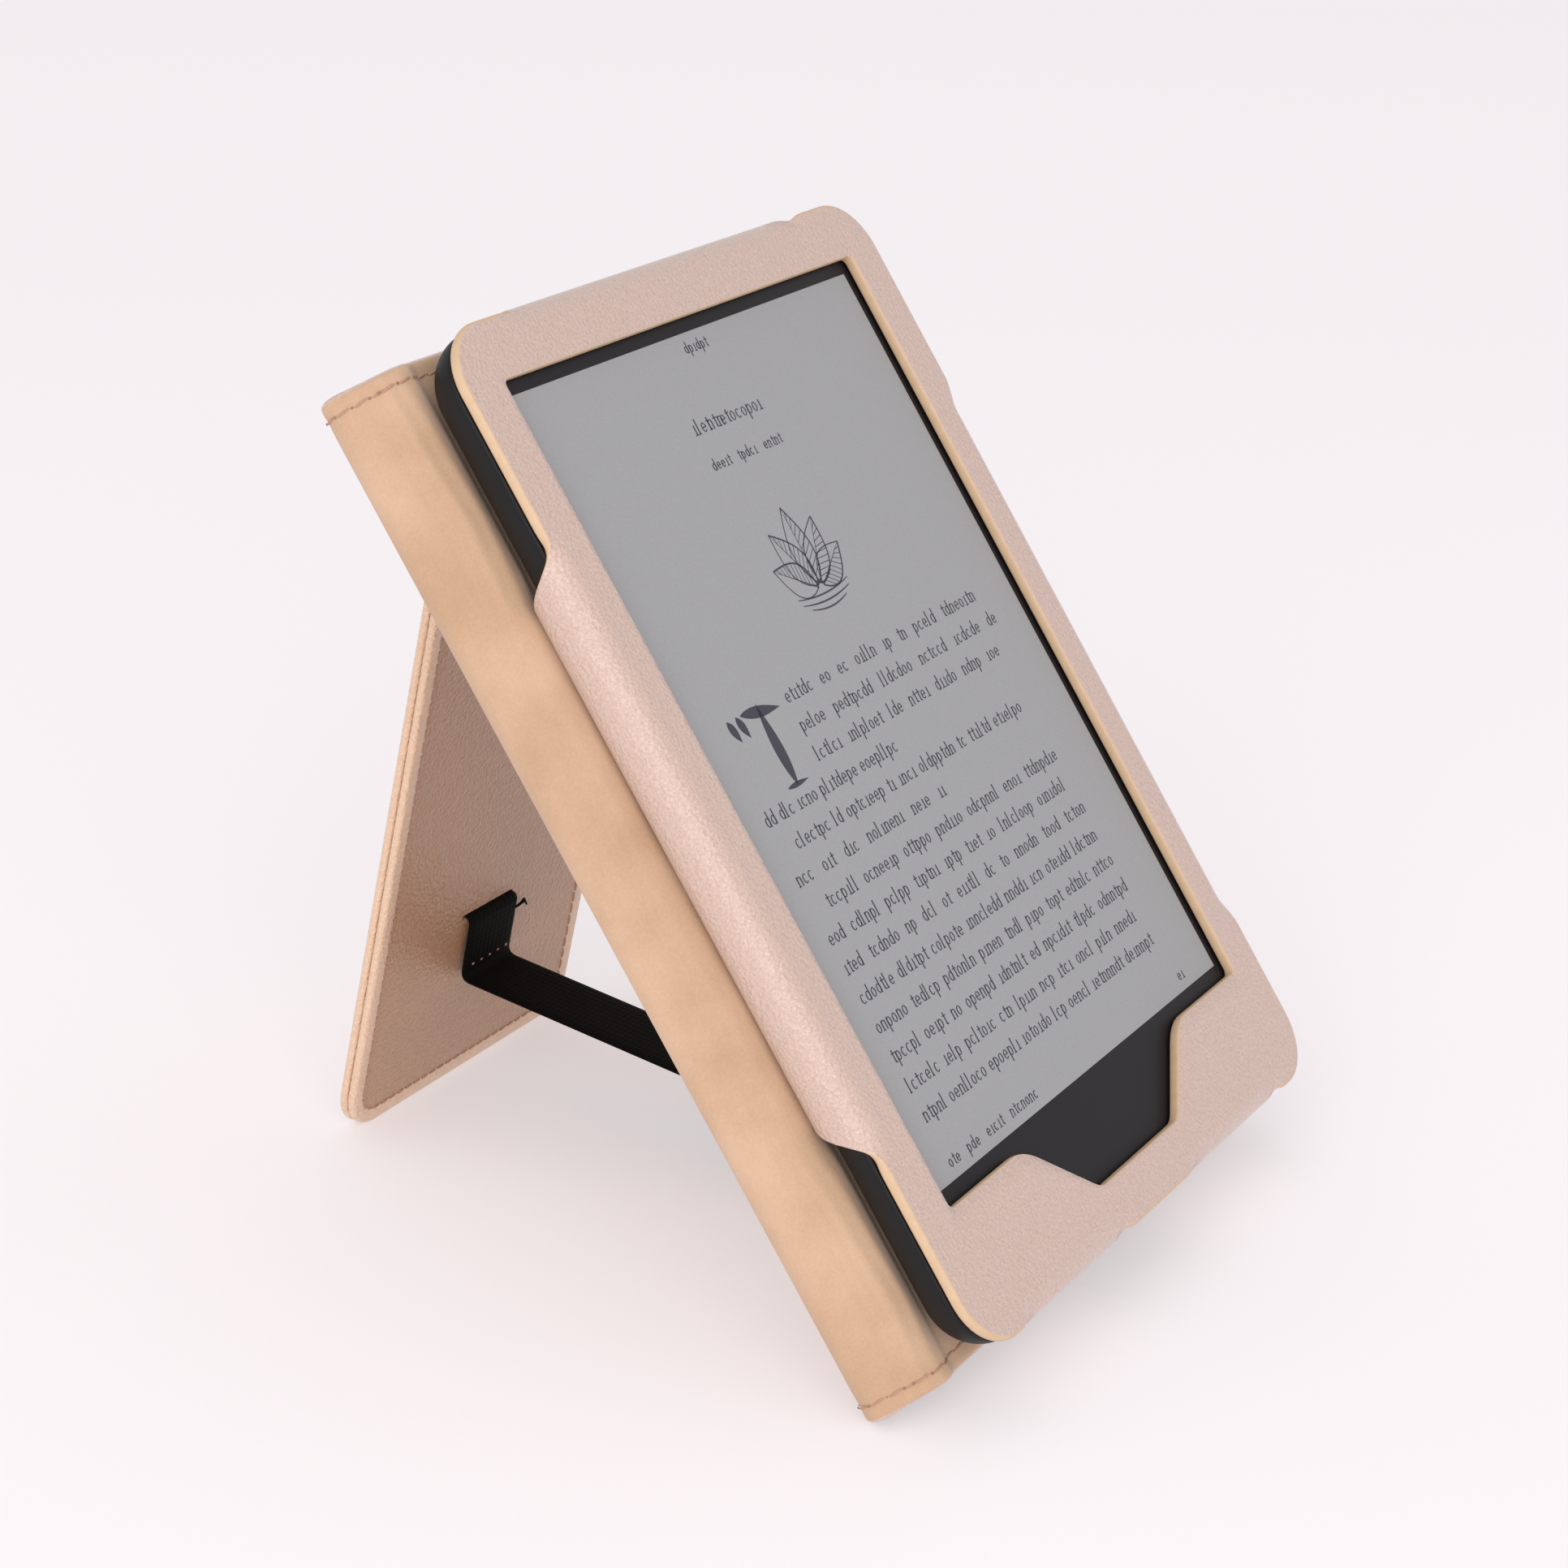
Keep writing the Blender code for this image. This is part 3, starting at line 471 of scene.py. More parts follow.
def black_elastic():
    """Woven elastic: ribs of covered rubber along the strap and picks of yarn across it."""
    material, tree, shader = new_finish("woven_black_elastic", "070607", roughness=0.8)
    shader.inputs["Specular IOR Level"].default_value = 0.12
    place = add(tree, "ShaderNodeAttribute", attribute_name="cloth")
    # A wave's period is 2 pi / 20 over its scale, so this draws ribs and picks about a fifth coarser.
    coarse = 1.6 / (2 * math.pi)
    rib_inputs = {"Vector": (place, 1), "Scale": per_metre(1.1) * coarse}
    ribs = add(tree, "ShaderNodeTexWave", rib_inputs, bands_direction="Y")
    pick_inputs = {"Vector": (place, 1), "Scale": per_metre(0.8) * coarse}
    picks = add(tree, "ShaderNodeTexWave", pick_inputs, bands_direction="X")
    weave = add(tree, "ShaderNodeMath", {0: (ribs, 1), 1: (picks, 1)}, operation="ADD")
    raise_grain(tree, shader, (weave, 0), 0.1, 0.4)
    two_tone(tree, shader, (picks, 1), "040404", "0A0909")
    return material


def moulded(name, colour, roughness, grit_mm=0.3, depth_mm=0.012):
    """Injection-moulded plastic with the fine spark texture of its tool."""
    material, tree, shader = new_finish(name, colour, roughness=roughness)
    shader.inputs["Specular IOR Level"].default_value = 0.25
    place = add(tree, "ShaderNodeTexCoord")
    grit = add(tree, "ShaderNodeTexNoise", {"Vector": (place, 3), "Scale": per_metre(grit_mm), "Detail": 2.0})
    raise_grain(tree, shader, (grit, 0), depth_mm, 0.5)
    return material


def printed_glass():
    """The front lens: cover glass with a matt etch, printed dark on its back."""
    material, tree, shader = new_finish("matt_cover_glass", case_colours().bezel, roughness=0.36)
    shader.inputs["Specular IOR Level"].default_value = 0.22
    place = add(tree, "ShaderNodeTexCoord")
    etch = add(tree, "ShaderNodeTexNoise", {"Vector": (place, 3), "Scale": per_metre(0.25), "Detail": 1.0})
    raise_grain(tree, shader, (etch, 0), 0.004, 0.4)
    return material


def paper_display():
    """Electronic paper: grey capsules behind the matt lens, evenly dull."""
    material, tree, shader = new_finish("electronic_paper", case_colours().paper, roughness=0.55)
    place = add(tree, "ShaderNodeTexCoord")
    inputs = {"Vector": (place, 3), "Scale": per_metre(0.35), "Detail": 2.0}
    capsules = add(tree, "ShaderNodeTexNoise", inputs)
    tone = add(tree, "ShaderNodeMapRange", {"Value": (capsules, 0), "From Min": 0.2, "From Max": 0.8})
    two_tone(tree, shader, (tone, 0), "999A9C", case_colours().paper)
    return material


def page_ink():
    """Dark pigment at the front of the electronic paper."""
    material, tree, shader = new_finish("page_ink", case_colours().ink, roughness=0.6)
    place = add(tree, "ShaderNodeTexCoord")
    speck = add(tree, "ShaderNodeTexNoise", {"Vector": (place, 3), "Scale": per_metre(0.2)})
    two_tone(tree, shader, (speck, 0), "343440", case_colours().ink)
    return material


def metal(name, colour, roughness, stretch=(1.0, 1.0, 12.0)):
    """Rolled or brushed metal: fine lines one way, which widen the highlight."""
    material, tree, shader = new_finish(name, colour, roughness=roughness, metallic=1.0)
    place = add(tree, "ShaderNodeTexCoord")
    mapping = add(tree, "ShaderNodeMapping", {"Vector": (place, 3), "Scale": stretch})
    lines = add(tree, "ShaderNodeTexNoise", {"Vector": (mapping, 0), "Scale": per_metre(1.5), "Detail": 3.0})
    raise_grain(tree, shader, (lines, 0), 0.01, 0.3)
    return material


def mottled(name, dark, light, roughness, size_mm, **values):
    """A plain made surface with a faint mottle of its own, such as card, foil or solder mask."""
    material, tree, shader = new_finish(name, light, roughness=roughness, **values)
    place = add(tree, "ShaderNodeTexCoord")
    inputs = {"Vector": (place, 3), "Scale": per_metre(size_mm), "Detail": 4.0}
    cloud = add(tree, "ShaderNodeTexNoise", inputs)
    two_tone(tree, shader, (cloud, 0), dark, light)
    raise_grain(tree, shader, (cloud, 0), 0.02, 0.3)
    return material


FINISHES = {}


def finish(name):
    """A material by name, made the first time it is asked for."""
    colours = case_colours()
    makers = {
        "rose_leather": lambda: rose_leather("embossed_rose_leather", colours.leather_dark, colours.leather),
        # The leg's face is the rose leather darkened and warmed: painted shade and painted warm bounce light.
        "leg_leather_painted_shade": lambda: rose_leather("embossed_leather_painted_warm_shade", colours.leg_shade_dark, colours.leg),
        # The leg's rim, back and walls are a lighter, warmer copy of the leather: painted light and warm bounce on
        # its rolled edges.
        "leg_rim_painted_light": lambda: rose_leather("embossed_rim_leather_painted_warm_light", "DAB799", "E6C6AA"),
        "cut_edge": cut_edge,
        "beige_lining": lining,
        "thread": thread,
        "needle_hole_painted_shade": needle_hole_painted_shade,
        "black_elastic": black_elastic,
        "black_shell": lambda: moulded("spark_textured_plastic", "131314", 0.5),
        "black_plastic": lambda: moulded("plain_black_plastic", "151516", 0.45),
        "button_plastic": lambda: moulded("polished_button_plastic", "18181A", 0.25, 0.6, 0.004),
        "black_rubber": lambda: moulded("foam_gasket", "141415", 0.95, 0.4, 0.05),
        "front_lens": printed_glass,
        "paper": paper_display,
        "ink": page_ink,
        "card": lambda: mottled("grey_binding_board", "B49E84", "C9B69C", 0.9, 1.5),
        "light_guide_acrylic": lambda: mottled(
            "cast_acrylic", "D9E4E8", "E9F2F4", 0.08, 6.0, transmission_weight=0.6
        ),
        "display_film": lambda: mottled("display_film_layer", "9C9D9F", "A7A8AA", 0.6, 0.5),
        "magnesium": lambda: metal("die_cast_magnesium", "8A8C90", 0.5),
        "circuit_board": lambda: mottled("green_solder_mask", "0F4A30", "1A5C3E", 0.35, 2.0),
        "steel": lambda: metal("rolled_steel", "C2C2C0", 0.32),
        "battery_pouch": lambda: mottled("laminated_pouch_foil", "A9ABB0", "BFC1C6", 0.35, 3.0, metallic=0.8),
        "polyimide": lambda: mottled("polyimide_film", "9C5A18", "C07A28", 0.3, 2.5),
        "clear_plastic": lambda: mottled(
            "clear_polycarbonate", "E2E6E2", "F2F4F2", 0.05, 5.0, transmission_weight=0.9
        ),
    }
    if name not in FINISHES:
        FINISHES[name] = makers[name]()
    return FINISHES[name]


# Sizes and colours that a user would change.


class CaseColours(bpy.types.PropertyGroup):
    """The colours of the case and the page, as sRGB hex values."""

    leather: bpy.props.StringProperty(name="Leather", description="Leather face, hex", default="D2B8AB")
    leather_dark: bpy.props.StringProperty(
        name="Leather low", description="Leather between its pebbles, hex", default="C5A89A"
    )
    # The leg's two colours are the rose leather darkened and warmed, painted shade and painted warm bounce light
    # on the leg's face.
    leg: bpy.props.StringProperty(name="Leg leather", description="The leg's face, hex", default="B4875F")
    leg_shade_dark: bpy.props.StringProperty(
        name="Leg leather low", description="The leg's leather between its pebbles, hex", default="A47650"
    )
    lining: bpy.props.StringProperty(name="Lining", description="Raised nap, hex", default="CFAE92")
    lining_dark: bpy.props.StringProperty(name="Lining low", description="Flat nap, hex", default="BC9A7C")
    edge: bpy.props.StringProperty(name="Cut edge", description="Painted edge, hex", default="D8BC9C")
    thread: bpy.props.StringProperty(name="Thread", description="Sewing thread, hex", default="B68C76")
    bezel: bpy.props.StringProperty(name="Bezel", description="Print behind the lens, hex", default="161419")
    paper: bpy.props.StringProperty(name="Paper", description="Display ground, hex", default="A1A2A4")
    ink: bpy.props.StringProperty(name="Ink", description="Page marks, hex", default="3E3E4A")


class CaseSizes(bpy.types.PropertyGroup):
    """The sizes of the case's leatherwork."""

    stitch_pitch: bpy.props.FloatProperty(
        name="Stitch pitch", description="From one stitch to the next", default=0.0031, unit="LENGTH"
    )
    stitch_inset: bpy.props.FloatProperty(
        name="Stitch inset", description="From panel end to stitch row", default=0.0033, unit="LENGTH"
    )
    frame_thickness: bpy.props.FloatProperty(
        name="Frame thickness", description="Leather and card round the screen", default=0.0019, unit="LENGTH"
    )
    leather_thickness: bpy.props.FloatProperty(
        name="Leather thickness", description="Leather alone, where it wraps", default=0.0009, unit="LENGTH"
    )


# The front frame with its wraps, in one skin.

SHOULDER_RADIUS = 4.2
HEEL_RADIUS = 6.5
WRAP_SHARE_ROWS = 30
FLAT_ROWS = 6
CAP_ROWS = 5
SHOULDER_START = 4.5


def notch_drop(x):
    """How far the window's lower edge dips at x: a trapezoid with rounded corners.

    Each corner is a parabola between its two straight lines.
    """

    def ramp(distance, soft):
        return np.where(
            distance > soft, distance, np.where(distance < -soft, 0.0, (distance + soft) ** 2 / (4 * soft))
        )

    half_top = 29.5
    half_bottom = 14.7
    depth = 13.2
    slope = depth / (half_top - half_bottom)
    inward = half_top - np.abs(x)
    return slope * (ramp(inward, 3.2) - ramp(inward - (half_top - half_bottom), 1.5))


def wrap_path(q, bend, face_z):
    """The leather's path over the frame's edge, q millimetres past where it starts to turn.

    Bent, it runs flat, round the shoulder's arc, down the side, round the heel's arc and in
    under the reader. Flat, it runs straight out. The bend mixes the two paths. Returns how far
    out and how high each point is, and the outward direction of the skin.
    """
    flat = 1.5
    side = 0.8
    quarter = math.pi / 2
    shoulder_end = flat + quarter * SHOULDER_RADIUS
    heel_start = shoulder_end + side
    heel_end = heel_start + quarter * HEEL_RADIUS
    a = np.clip((q - flat) / SHOULDER_RADIUS, 0, quarter)
    c = np.clip((q - heel_start) / HEEL_RADIUS, 0, quarter)
    under = np.clip(q - heel_end, 0, None)
    out = np.minimum(q, flat) + SHOULDER_RADIUS * np.sin(a) - HEEL_RADIUS * (1 - np.cos(c)) - under
    down = SHOULDER_RADIUS * (1 - np.cos(a)) + np.clip(q - shoulder_end, 0, side) + HEEL_RADIUS * np.sin(c)
    out = bend * out + (1 - bend) * q - SHOULDER_START
    high = face_z - bend * down
    lean = quarter - a - c
    normal = np.stack([bend * np.cos(lean), bend * np.sin(lean) + (1 - bend)], -1)
    return out, high, unit(normal)


def wrap_amounts(side, along):
    """How far the wrap reaches and how bent it is at each place round the frame, from 0 to 1.

    Each wrap's ends are S-curves of its reach, and most of the bend comes before the reach.
    """
    reach = np.zeros_like(along)
    bend = np.zeros_like(along)
    flap = node_box(READER, "left_flap")
    top = node_box(READER, "top_wrap")
    low = node_box(READER, "bottom_wrap_right")
    # Each row is a side (0 right, 1 top, 2 left, 3 bottom), where the wrap starts and ends along it,
    # how far its S-curve runs inside and outside that, and the share outside where the bend fades.
    spans = [
        (0, flap[0][1] - 3.0, flap[1][1] - 4.0, 10.0, 7.5, 0.45),
        (2, flap[0][1], flap[1][1], 10.0, 7.5, 0.45),
        (1, top[0][0], top[1][0], 3.0, 4.5, 0.8),
        (3, low[0][0], low[1][0], 3.0, 4.0, 0.8),
        (3, -low[1][0], -low[0][0], 3.0, 4.0, 0.8),
    ]
    for which, start, end, inside, outside, bent in spans:
        here = side == which
        distance = np.maximum(start - along, along - end)
        reach = np.maximum(reach, here * (1 - smooth_step(distance, -inside, outside)))
        bend = np.maximum(bend, here * (1 - smooth_step(distance, outside * bent, outside * (bent + 0.9))))
    return reach, bend


def front_leather():
    """The leather over the frame round the screen, with the flap and the wraps that hold the reader.

    It is a closed ring. Round the ring runs the rectangle's rim, and across it runs one section:
    up the window's cut edge, out along the face, over the edge by wrap_path, round the cut end,
    and back along the inside.
    """
    sizes = bpy.context.scene.case_sizes
    thick = sizes.frame_thickness / MM
    thin = sizes.leather_thickness / MM
    low, high = node_box(READER, "front_frame")
    face_z = high[2]
    radius = 9.5
    window_radius = 1.4
    left, right, bottom, top = low[0], high[0], low[1], high[1]
    window = (-53.6, 53.6, -71.9, 71.6)
    flap = node_box(READER, "left_flap")
    top_box = node_box(READER, "top_wrap")
    low_box = node_box(READER, "bottom_wrap_right")
    upright_spots = (flap[0][1] - 2.0, flap[1][1] + 2.0)
    level_spots = (top_box[0][0] - 1.0, top_box[1][0] + 1.0)
    bottom_spots = (-low_box[1][0], -low_box[0][0], low_box[0][0], low_box[1][0])
    upright = spread(bottom + radius, top - radius, 1.3, 0.28, upright_spots, 6.0)
    level = spread(left + radius, right - radius, 1.3, 0.4, level_spots, 2.5)
    below = spread(left + radius, right - radius, 0.9, 0.4, bottom_spots, 2.0)
    sides = [upright, level[::-1], upright[::-1], below]
    corner_steps = 14
    outer, outward = rectangle_rim((left, right, bottom, top), radius, sides, corner_steps)

    def to_window(positions, start, end, window_start, window_end):
        share = (positions - start) / (end - start)
        return window_start + window_radius + share * (window_end - window_start - 2 * window_radius)

    tall = to_window(upright, bottom + radius, top - radius, window[2], window[3])
    wide = to_window(level, left + radius, right - radius, window[0], window[1])
    wide_low = to_window(below, left + radius, right - radius, window[0], window[1])
    inner_sides = [tall, wide[::-1], tall[::-1], wide_low]
    inner, _ = rectangle_rim(window, window_radius, inner_sides, corner_steps)
    lengths = [len(upright), corner_steps, len(level), corner_steps]
    lengths += [len(upright), corner_steps, len(below), corner_steps]
    side = np.repeat([0, -1, 1, -1, 2, -1, 3, -1], lengths)
    along = np.where((side == 0) | (side == 2), outer[:, 1], outer[:, 0])
    inner[:, 1] -= np.where(side == 3, notch_drop(inner[:, 0]), 0.0)
    following = np.roll(inner, -1, 0) - np.roll(inner, 1, 0)
    into = unit(np.stack([following[:, 1], -following[:, 0]], 1))
    reach, bend = wrap_amounts(side, along)

    # The flat face, from the window's edge to where the leather starts to turn.
    turn_at = outer - outward * SHOULDER_START
    share = np.linspace(0, 1, FLAT_ROWS)[None, :, None]
    face_xy = inner[:, None] * (1 - share) + turn_at[:, None] * share
    count = len(outer)
    face = np.concatenate([face_xy, np.full((count, FLAT_ROWS, 1), face_z)], 2)
    under = face.copy()
    under[..., 2] -= thick

    # Past the turn, in the plane of the outward direction and Z.
    longest = 26.4
    length = SHOULDER_START + reach * (longest - SHOULDER_START)
    q = length[:, None] * np.linspace(0, 1, WRAP_SHARE_ROWS + 1)[None, 1:]
    out, height, normal = wrap_path(q, bend[:, None], face_z)
    depth = thick - (thick - thin) * bend[:, None] * smooth_step(q, 2.5, 6.5)

    def lift(out_, height_):
        """Points of the section as points of the reader's frame."""
        flat_xy = outer[:, None] + outward[:, None] * out_[..., None]
        return np.concatenate([flat_xy, height_[..., None]], 2)

    skin = lift(out, height)
    back = lift(out - normal[..., 0] * depth, height - normal[..., 1] * depth)

    # The cut end: half an ellipse from the outer skin to the inner one.
    turns = np.linspace(0, math.pi, CAP_ROWS + 2)[1:-1][None]
    last_normal = normal[:, -1]
    last_depth = depth[:, -1:]
    bulge = 0.28 * last_depth
    middle_out = out[:, -1:] - last_normal[:, :1] * last_depth / 2
    middle_high = height[:, -1:] - last_normal[:, 1:] * last_depth / 2
    ahead_out = last_normal[:, 1:]
    ahead_high = -last_normal[:, :1]
    cap_out = middle_out + last_normal[:, :1] * last_depth / 2 * np.cos(turns)
    cap_out = cap_out + ahead_out * bulge * np.sin(turns)
    cap_high = middle_high + last_normal[:, 1:] * last_depth / 2 * np.cos(turns)
    cap_high = cap_high + ahead_high * bulge * np.sin(turns)
    cap = lift(cap_out, cap_high)

    # The window's cut edge, a shallow curve from the underside up to the face.
    swell = 0.22
    sill_xy = inner[:, None] - into[:, None] * swell * np.sin(turns)[..., None]
    sill_z = face_z - thick / 2 - thick / 2 * np.cos(turns)
    sill = np.concatenate([sill_xy, np.broadcast_to(sill_z[..., None], (count, CAP_ROWS, 1))], 2)

    section = [sill, face, skin, cap, back[:, ::-1], under[:, ::-1]]
    points = np.concatenate(section, 1)
    around = points.shape[1]
    bands = np.full(around, 2)
    first_face = CAP_ROWS
    last_skin = CAP_ROWS + FLAT_ROWS + WRAP_SHARE_ROWS - 1
    bands[:first_face] = 1
    bands[-1] = 1
    bands[first_face:last_skin] = 0
    bands[last_skin : last_skin + CAP_ROWS + 1] = 1
    faces = quads(count, around, close_rows=True, close_columns=True)
    finishes = [finish("rose_leather"), finish("cut_edge"), finish("beige_lining")]
    piece = make_piece(
        "front_leather", READER, points.reshape(-1, 3), faces, finishes, np.tile(bands, count)
    )
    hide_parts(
        "front_frame", "left_flap", "right_wrap", "top_wrap", "bottom_wrap_left", "bottom_wrap_right"
    )
    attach(piece, "reader_and_holder")
    return piece


# The reader itself.


def back_shell():
    """The reader's moulded back: a thin tray with a wide round edge, and three openings below.

    Its rows run down the side and round an arc to the back, and an equal arc one wall inside.
    """
    low, high = node_box(READER, "rear_housing")
    radius = 10.0
    rounding = 7.0
    wall = 1.2
    port = node_box(READER, "usb_c_port")
    button = node_box(READER, "power_button")
    pipe = node_box(READER, "status_light_pipe")
    holes_x = [
        (port[0][0] - 0.5, port[1][0] + 0.5),
        (button[0][0] - 0.4, button[1][0] + 0.4),
        (pipe[0][0] - 0.3, pipe[1][0] + 0.3),
    ]
    holes_z = [(port[1][2] + 0.3, port[0][2] - 0.3)] * 2 + [(pipe[1][2] + 0.3, pipe[0][2] - 0.3)]
    edges_x = np.array(holes_x).ravel()
    upright = spread(low[1] + radius, high[1] - radius, 4.0)
    level = spread(low[0] + radius, high[0] - radius, 4.0)
    below = np.unique(np.concatenate([level, edges_x]))
    sides = [upright, level[::-1], upright[::-1], below]
    corner_steps = 22
    rim, outward = rectangle_rim((low[0], high[0], low[1], high[1]), radius, sides, corner_steps)
    side_end = high[2] - 1.0
    edges_z = np.array(holes_z).ravel()
    sines = np.concatenate([np.sin(np.linspace(0, math.pi / 2, 15)), (side_end - edges_z) / rounding])
    sines = np.unique(np.round(sines, 6))
    deepest = (side_end - edges_z.min()) / rounding
    fade = np.clip((1 - sines) / (1 - deepest), 0, 1)
    inner_sines = np.clip(sines * (1 + (rounding / (rounding - wall) - 1) * fade), 0, 1)
    lip = 0.25
    inset = np.concatenate([[lip, 0.0], rounding * (1 - np.sqrt(1 - sines**2))])
    depth = np.concatenate([[high[2], high[2] - lip], side_end - rounding * sines])
    small = rounding - wall
    inner_inset = np.concatenate([[wall - 0.1, wall], wall + small * (1 - np.sqrt(1 - inner_sines**2))])
    inner_depth = np.concatenate([[high[2], high[2] - lip], side_end - small * inner_sines])

    def rings(inset_, depth_):
        xy = rim[None] - outward[None] * inset_[:, None, None]
        z = np.broadcast_to(depth_[:, None, None], xy.shape[:2] + (1,))
        return np.concatenate([xy, z], 2)

    outside = rings(inset, depth)
    inside = rings(inner_inset, inner_depth)
    first_below = len(upright) * 2 + len(level) + 3 * corner_steps
    holes = []
    for span_x, span_z in zip(holes_x, holes_z):
        columns_at = [first_below + int(np.argmin(np.abs(below - x))) for x in span_x]
        rows_at = [int(np.argmin(np.abs(depth - z))) for z in span_z]
        holes.append((*rows_at, *columns_at))
    points, faces, _ = two_skins(outside, inside, holes, close_columns=True)

    # The walls at the last ring are taken out again, and both floors are closed by fans.
    rows, columns = outside.shape[:2]
    count = rows * columns
    last_ring = np.arange(count - columns, count)
    in_ring = np.isin(faces[:, 0], last_ring) & np.isin(faces[:, 1], last_ring)
    faces = faces[~(in_ring & (faces[:, 2] >= count))]
    middle = [0.0, (low[1] + high[1]) / 2]
    points = np.concatenate([points, [middle + [depth[-1]], middle + [inner_depth[-1]]]])
    floors = np.concatenate([fan(last_ring, len(points) - 2), fan(last_ring + count, len(points) - 1)])
    faces = faces.tolist() + floors.tolist()
    piece = make_piece("back_shell", READER, points, faces, [finish("black_shell")])
    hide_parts("rear_housing")
    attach(piece, "reader_and_holder")
    return piece


# The page: generic marks in the places of a page's text, with no letters.

PAGE_HALF_WIDTH = 51.8
PAGE_HALF_HEIGHT = 69.1
TEXT_LEFT = -45.4
TEXT_RIGHT = 45.4
LINE_PITCH = 5.16
X_HEIGHT = 1.72
STEM = 0.31
HAIRLINE = 0.16


def filler_words(rng, left, right, baseline, size=1.0):
    """Bars and bowls that fill a line like words of print, but spell nothing.

    The words' lengths are drawn first, and the gaps take up what is left of the line. Returns
    boxes as lowest and highest corners, and bowls as centre, half sizes and start and end angle.
    """
    pitch = 1.66 * size
    bars = []
    bowls = []
    lengths = []
    room = right - left
    while (sum(lengths) + len(lengths)) * pitch < room - 3.2 * pitch:
        lengths.append(int(rng.integers(2, 9)))
    gap = min((room - sum(lengths) * pitch) / max(len(lengths) - 1, 1), 2.4 * pitch)
    stem = STEM * size
    tall = X_HEIGHT * size
    wide = pitch * 0.74
    x = left
    for length in lengths:
        for kind in rng.integers(0, 9, length):
            y = baseline
            middle = (x + wide / 2, y + tall / 2)
            foot = (x - stem * 0.6, y, x + stem * 1.6, y + HAIRLINE * size)
            if kind == 0:
                bars += [(x, y, x + stem, y + tall * 1.55), foot]
            elif kind == 1:
                bars += [(x, y, x + stem, y + tall), foot]
                bars.append((x + wide - stem, y, x + wide, y + tall * 0.72))
                bowls.append((*(x + wide / 2, y + tall * 0.66), wide / 2, tall * 0.34, 0.0, 180.0))
            elif kind == 2:
                bowls.append((*middle, wide / 2, tall / 2, 0.0, 360.0))
            elif kind == 3:
                bowls.append((*middle, wide / 2, tall / 2, 45.0, 320.0))
            elif kind == 4:
                bowls.append((*middle, wide / 2, tall / 2, 0.0, 325.0))
                bars.append((x + stem, middle[1] - 0.09, x + wide, middle[1] + 0.09))
            elif kind == 5:
                bowls.append((*middle, wide / 2, tall / 2, 0.0, 360.0))
                bars.append((x + wide - stem, y, x + wide, y + tall * 1.55))
            elif kind == 6:
                bowls.append((*middle, wide / 2, tall / 2, 0.0, 360.0))
                bars.append((x, y - tall * 0.5, x + stem, y + tall))
            elif kind == 7:
                bars.append((x + wide * 0.3, y + tall * 0.1, x + wide * 0.3 + stem, y + tall * 1.3))
                bars.append((x, y + tall - HAIRLINE * size, x + wide * 0.9, y + tall))
                bowls.append((x + wide * 0.62, y + tall * 0.25, wide * 0.32, tall * 0.25, 180.0, 310.0))
            else:
                bars.append((x + wide * 0.3, y, x + wide * 0.3 + stem, y + tall))
                bars.append((x, y, x + wide * 0.8, y + HAIRLINE * size))
            x += pitch * (0.72 if kind in (0, 7, 8) else 1.0)
        x += gap
    bars = [bar for bar in bars if bar[2] <= right + 0.5]
    bowls = [bowl for bowl in bowls if bowl[0] <= right]
    return bars, bowls


def strokes(paths, widths, low, high):
    """Many thin raised lines, each a rectangle carried along a path.

    Paths are an array of lines, points and X and Y, and widths one of lines and points.
    """
    ahead = unit(np.gradient(paths, axis=1))
    side = np.stack([-ahead[..., 1], ahead[..., 0]], -1) * widths[..., None] / 2
    edges = np.stack([paths - side, paths + side, paths + side, paths - side], 2)
    height = np.broadcast_to(np.array([low, low, high, high])[None, None, :, None], edges.shape[:3] + (1,))
    points = np.concatenate([edges, height], 3)
    lines, along = paths.shape[:2]
    tube = quads(along, 4, close_columns=True)
    ends = np.array([(0, 1, 2, 3), np.array((3, 2, 1, 0)) + (along - 1) * 4])
    faces = np.concatenate([tube, ends])[None] + (np.arange(lines) * along * 4)[:, None, None]
    return points.reshape(-1, 3), faces.reshape(-1, 4)


def bowl_strokes(bowls, low, high):
    """Round strokes from ellipses' arcs, heavy at the sides and thin above and below."""
    bowls = np.asarray(bowls, float)
    share = np.linspace(0, 1, 13)[None]
    angle = np.radians(bowls[:, 4:5] * (1 - share) + bowls[:, 5:6] * share)
    half = bowls[:, 2:4] - 0.12
    x = bowls[:, 0:1] + half[:, 0:1] * np.cos(angle)
    y = bowls[:, 1:2] + half[:, 1:2] * np.sin(angle)
    widths = 0.17 + 0.14 * np.cos(angle) ** 2
    return strokes(np.stack([x, y], -1), widths, low, high)


def page_lines(rng):
    """Every line of the page: a clock's place, two headings, three paragraphs and a footer."""
    lines = [(-3.4, 3.6, 65.6, 0.8), (-12.2, 12.2, 52.6, 1.05), (-12.2, 12.0, 46.2, 0.8)]
    baseline = 7.7
    indent = 4.4
    beside_initial = 3
    initial_room = 20.5
    row = 0
    for first_indent, count, last_share in ((0.0, 4, 0.5), (indent, 2, 0.58), (indent, 8, 1.0)):
        for number in range(count):
            left = TEXT_LEFT + (first_indent if number == 0 else 0.0)
            if row < beside_initial:
                left = TEXT_LEFT + initial_room
            last = number == count - 1
            right = left + (TEXT_RIGHT - left) * (last_share if last else 1.0)
            lines.append((left, right, baseline - row * LINE_PITCH, 1.0))
            row += 1
    lines += [(TEXT_LEFT, -13.0, -67.4, 0.85), (39.4, TEXT_RIGHT, -67.4, 0.85)]
    filled = [filler_words(rng, *line) for line in lines]
    return sum((bars for bars, _ in filled), []), sum((bowls for _, bowls in filled), [])


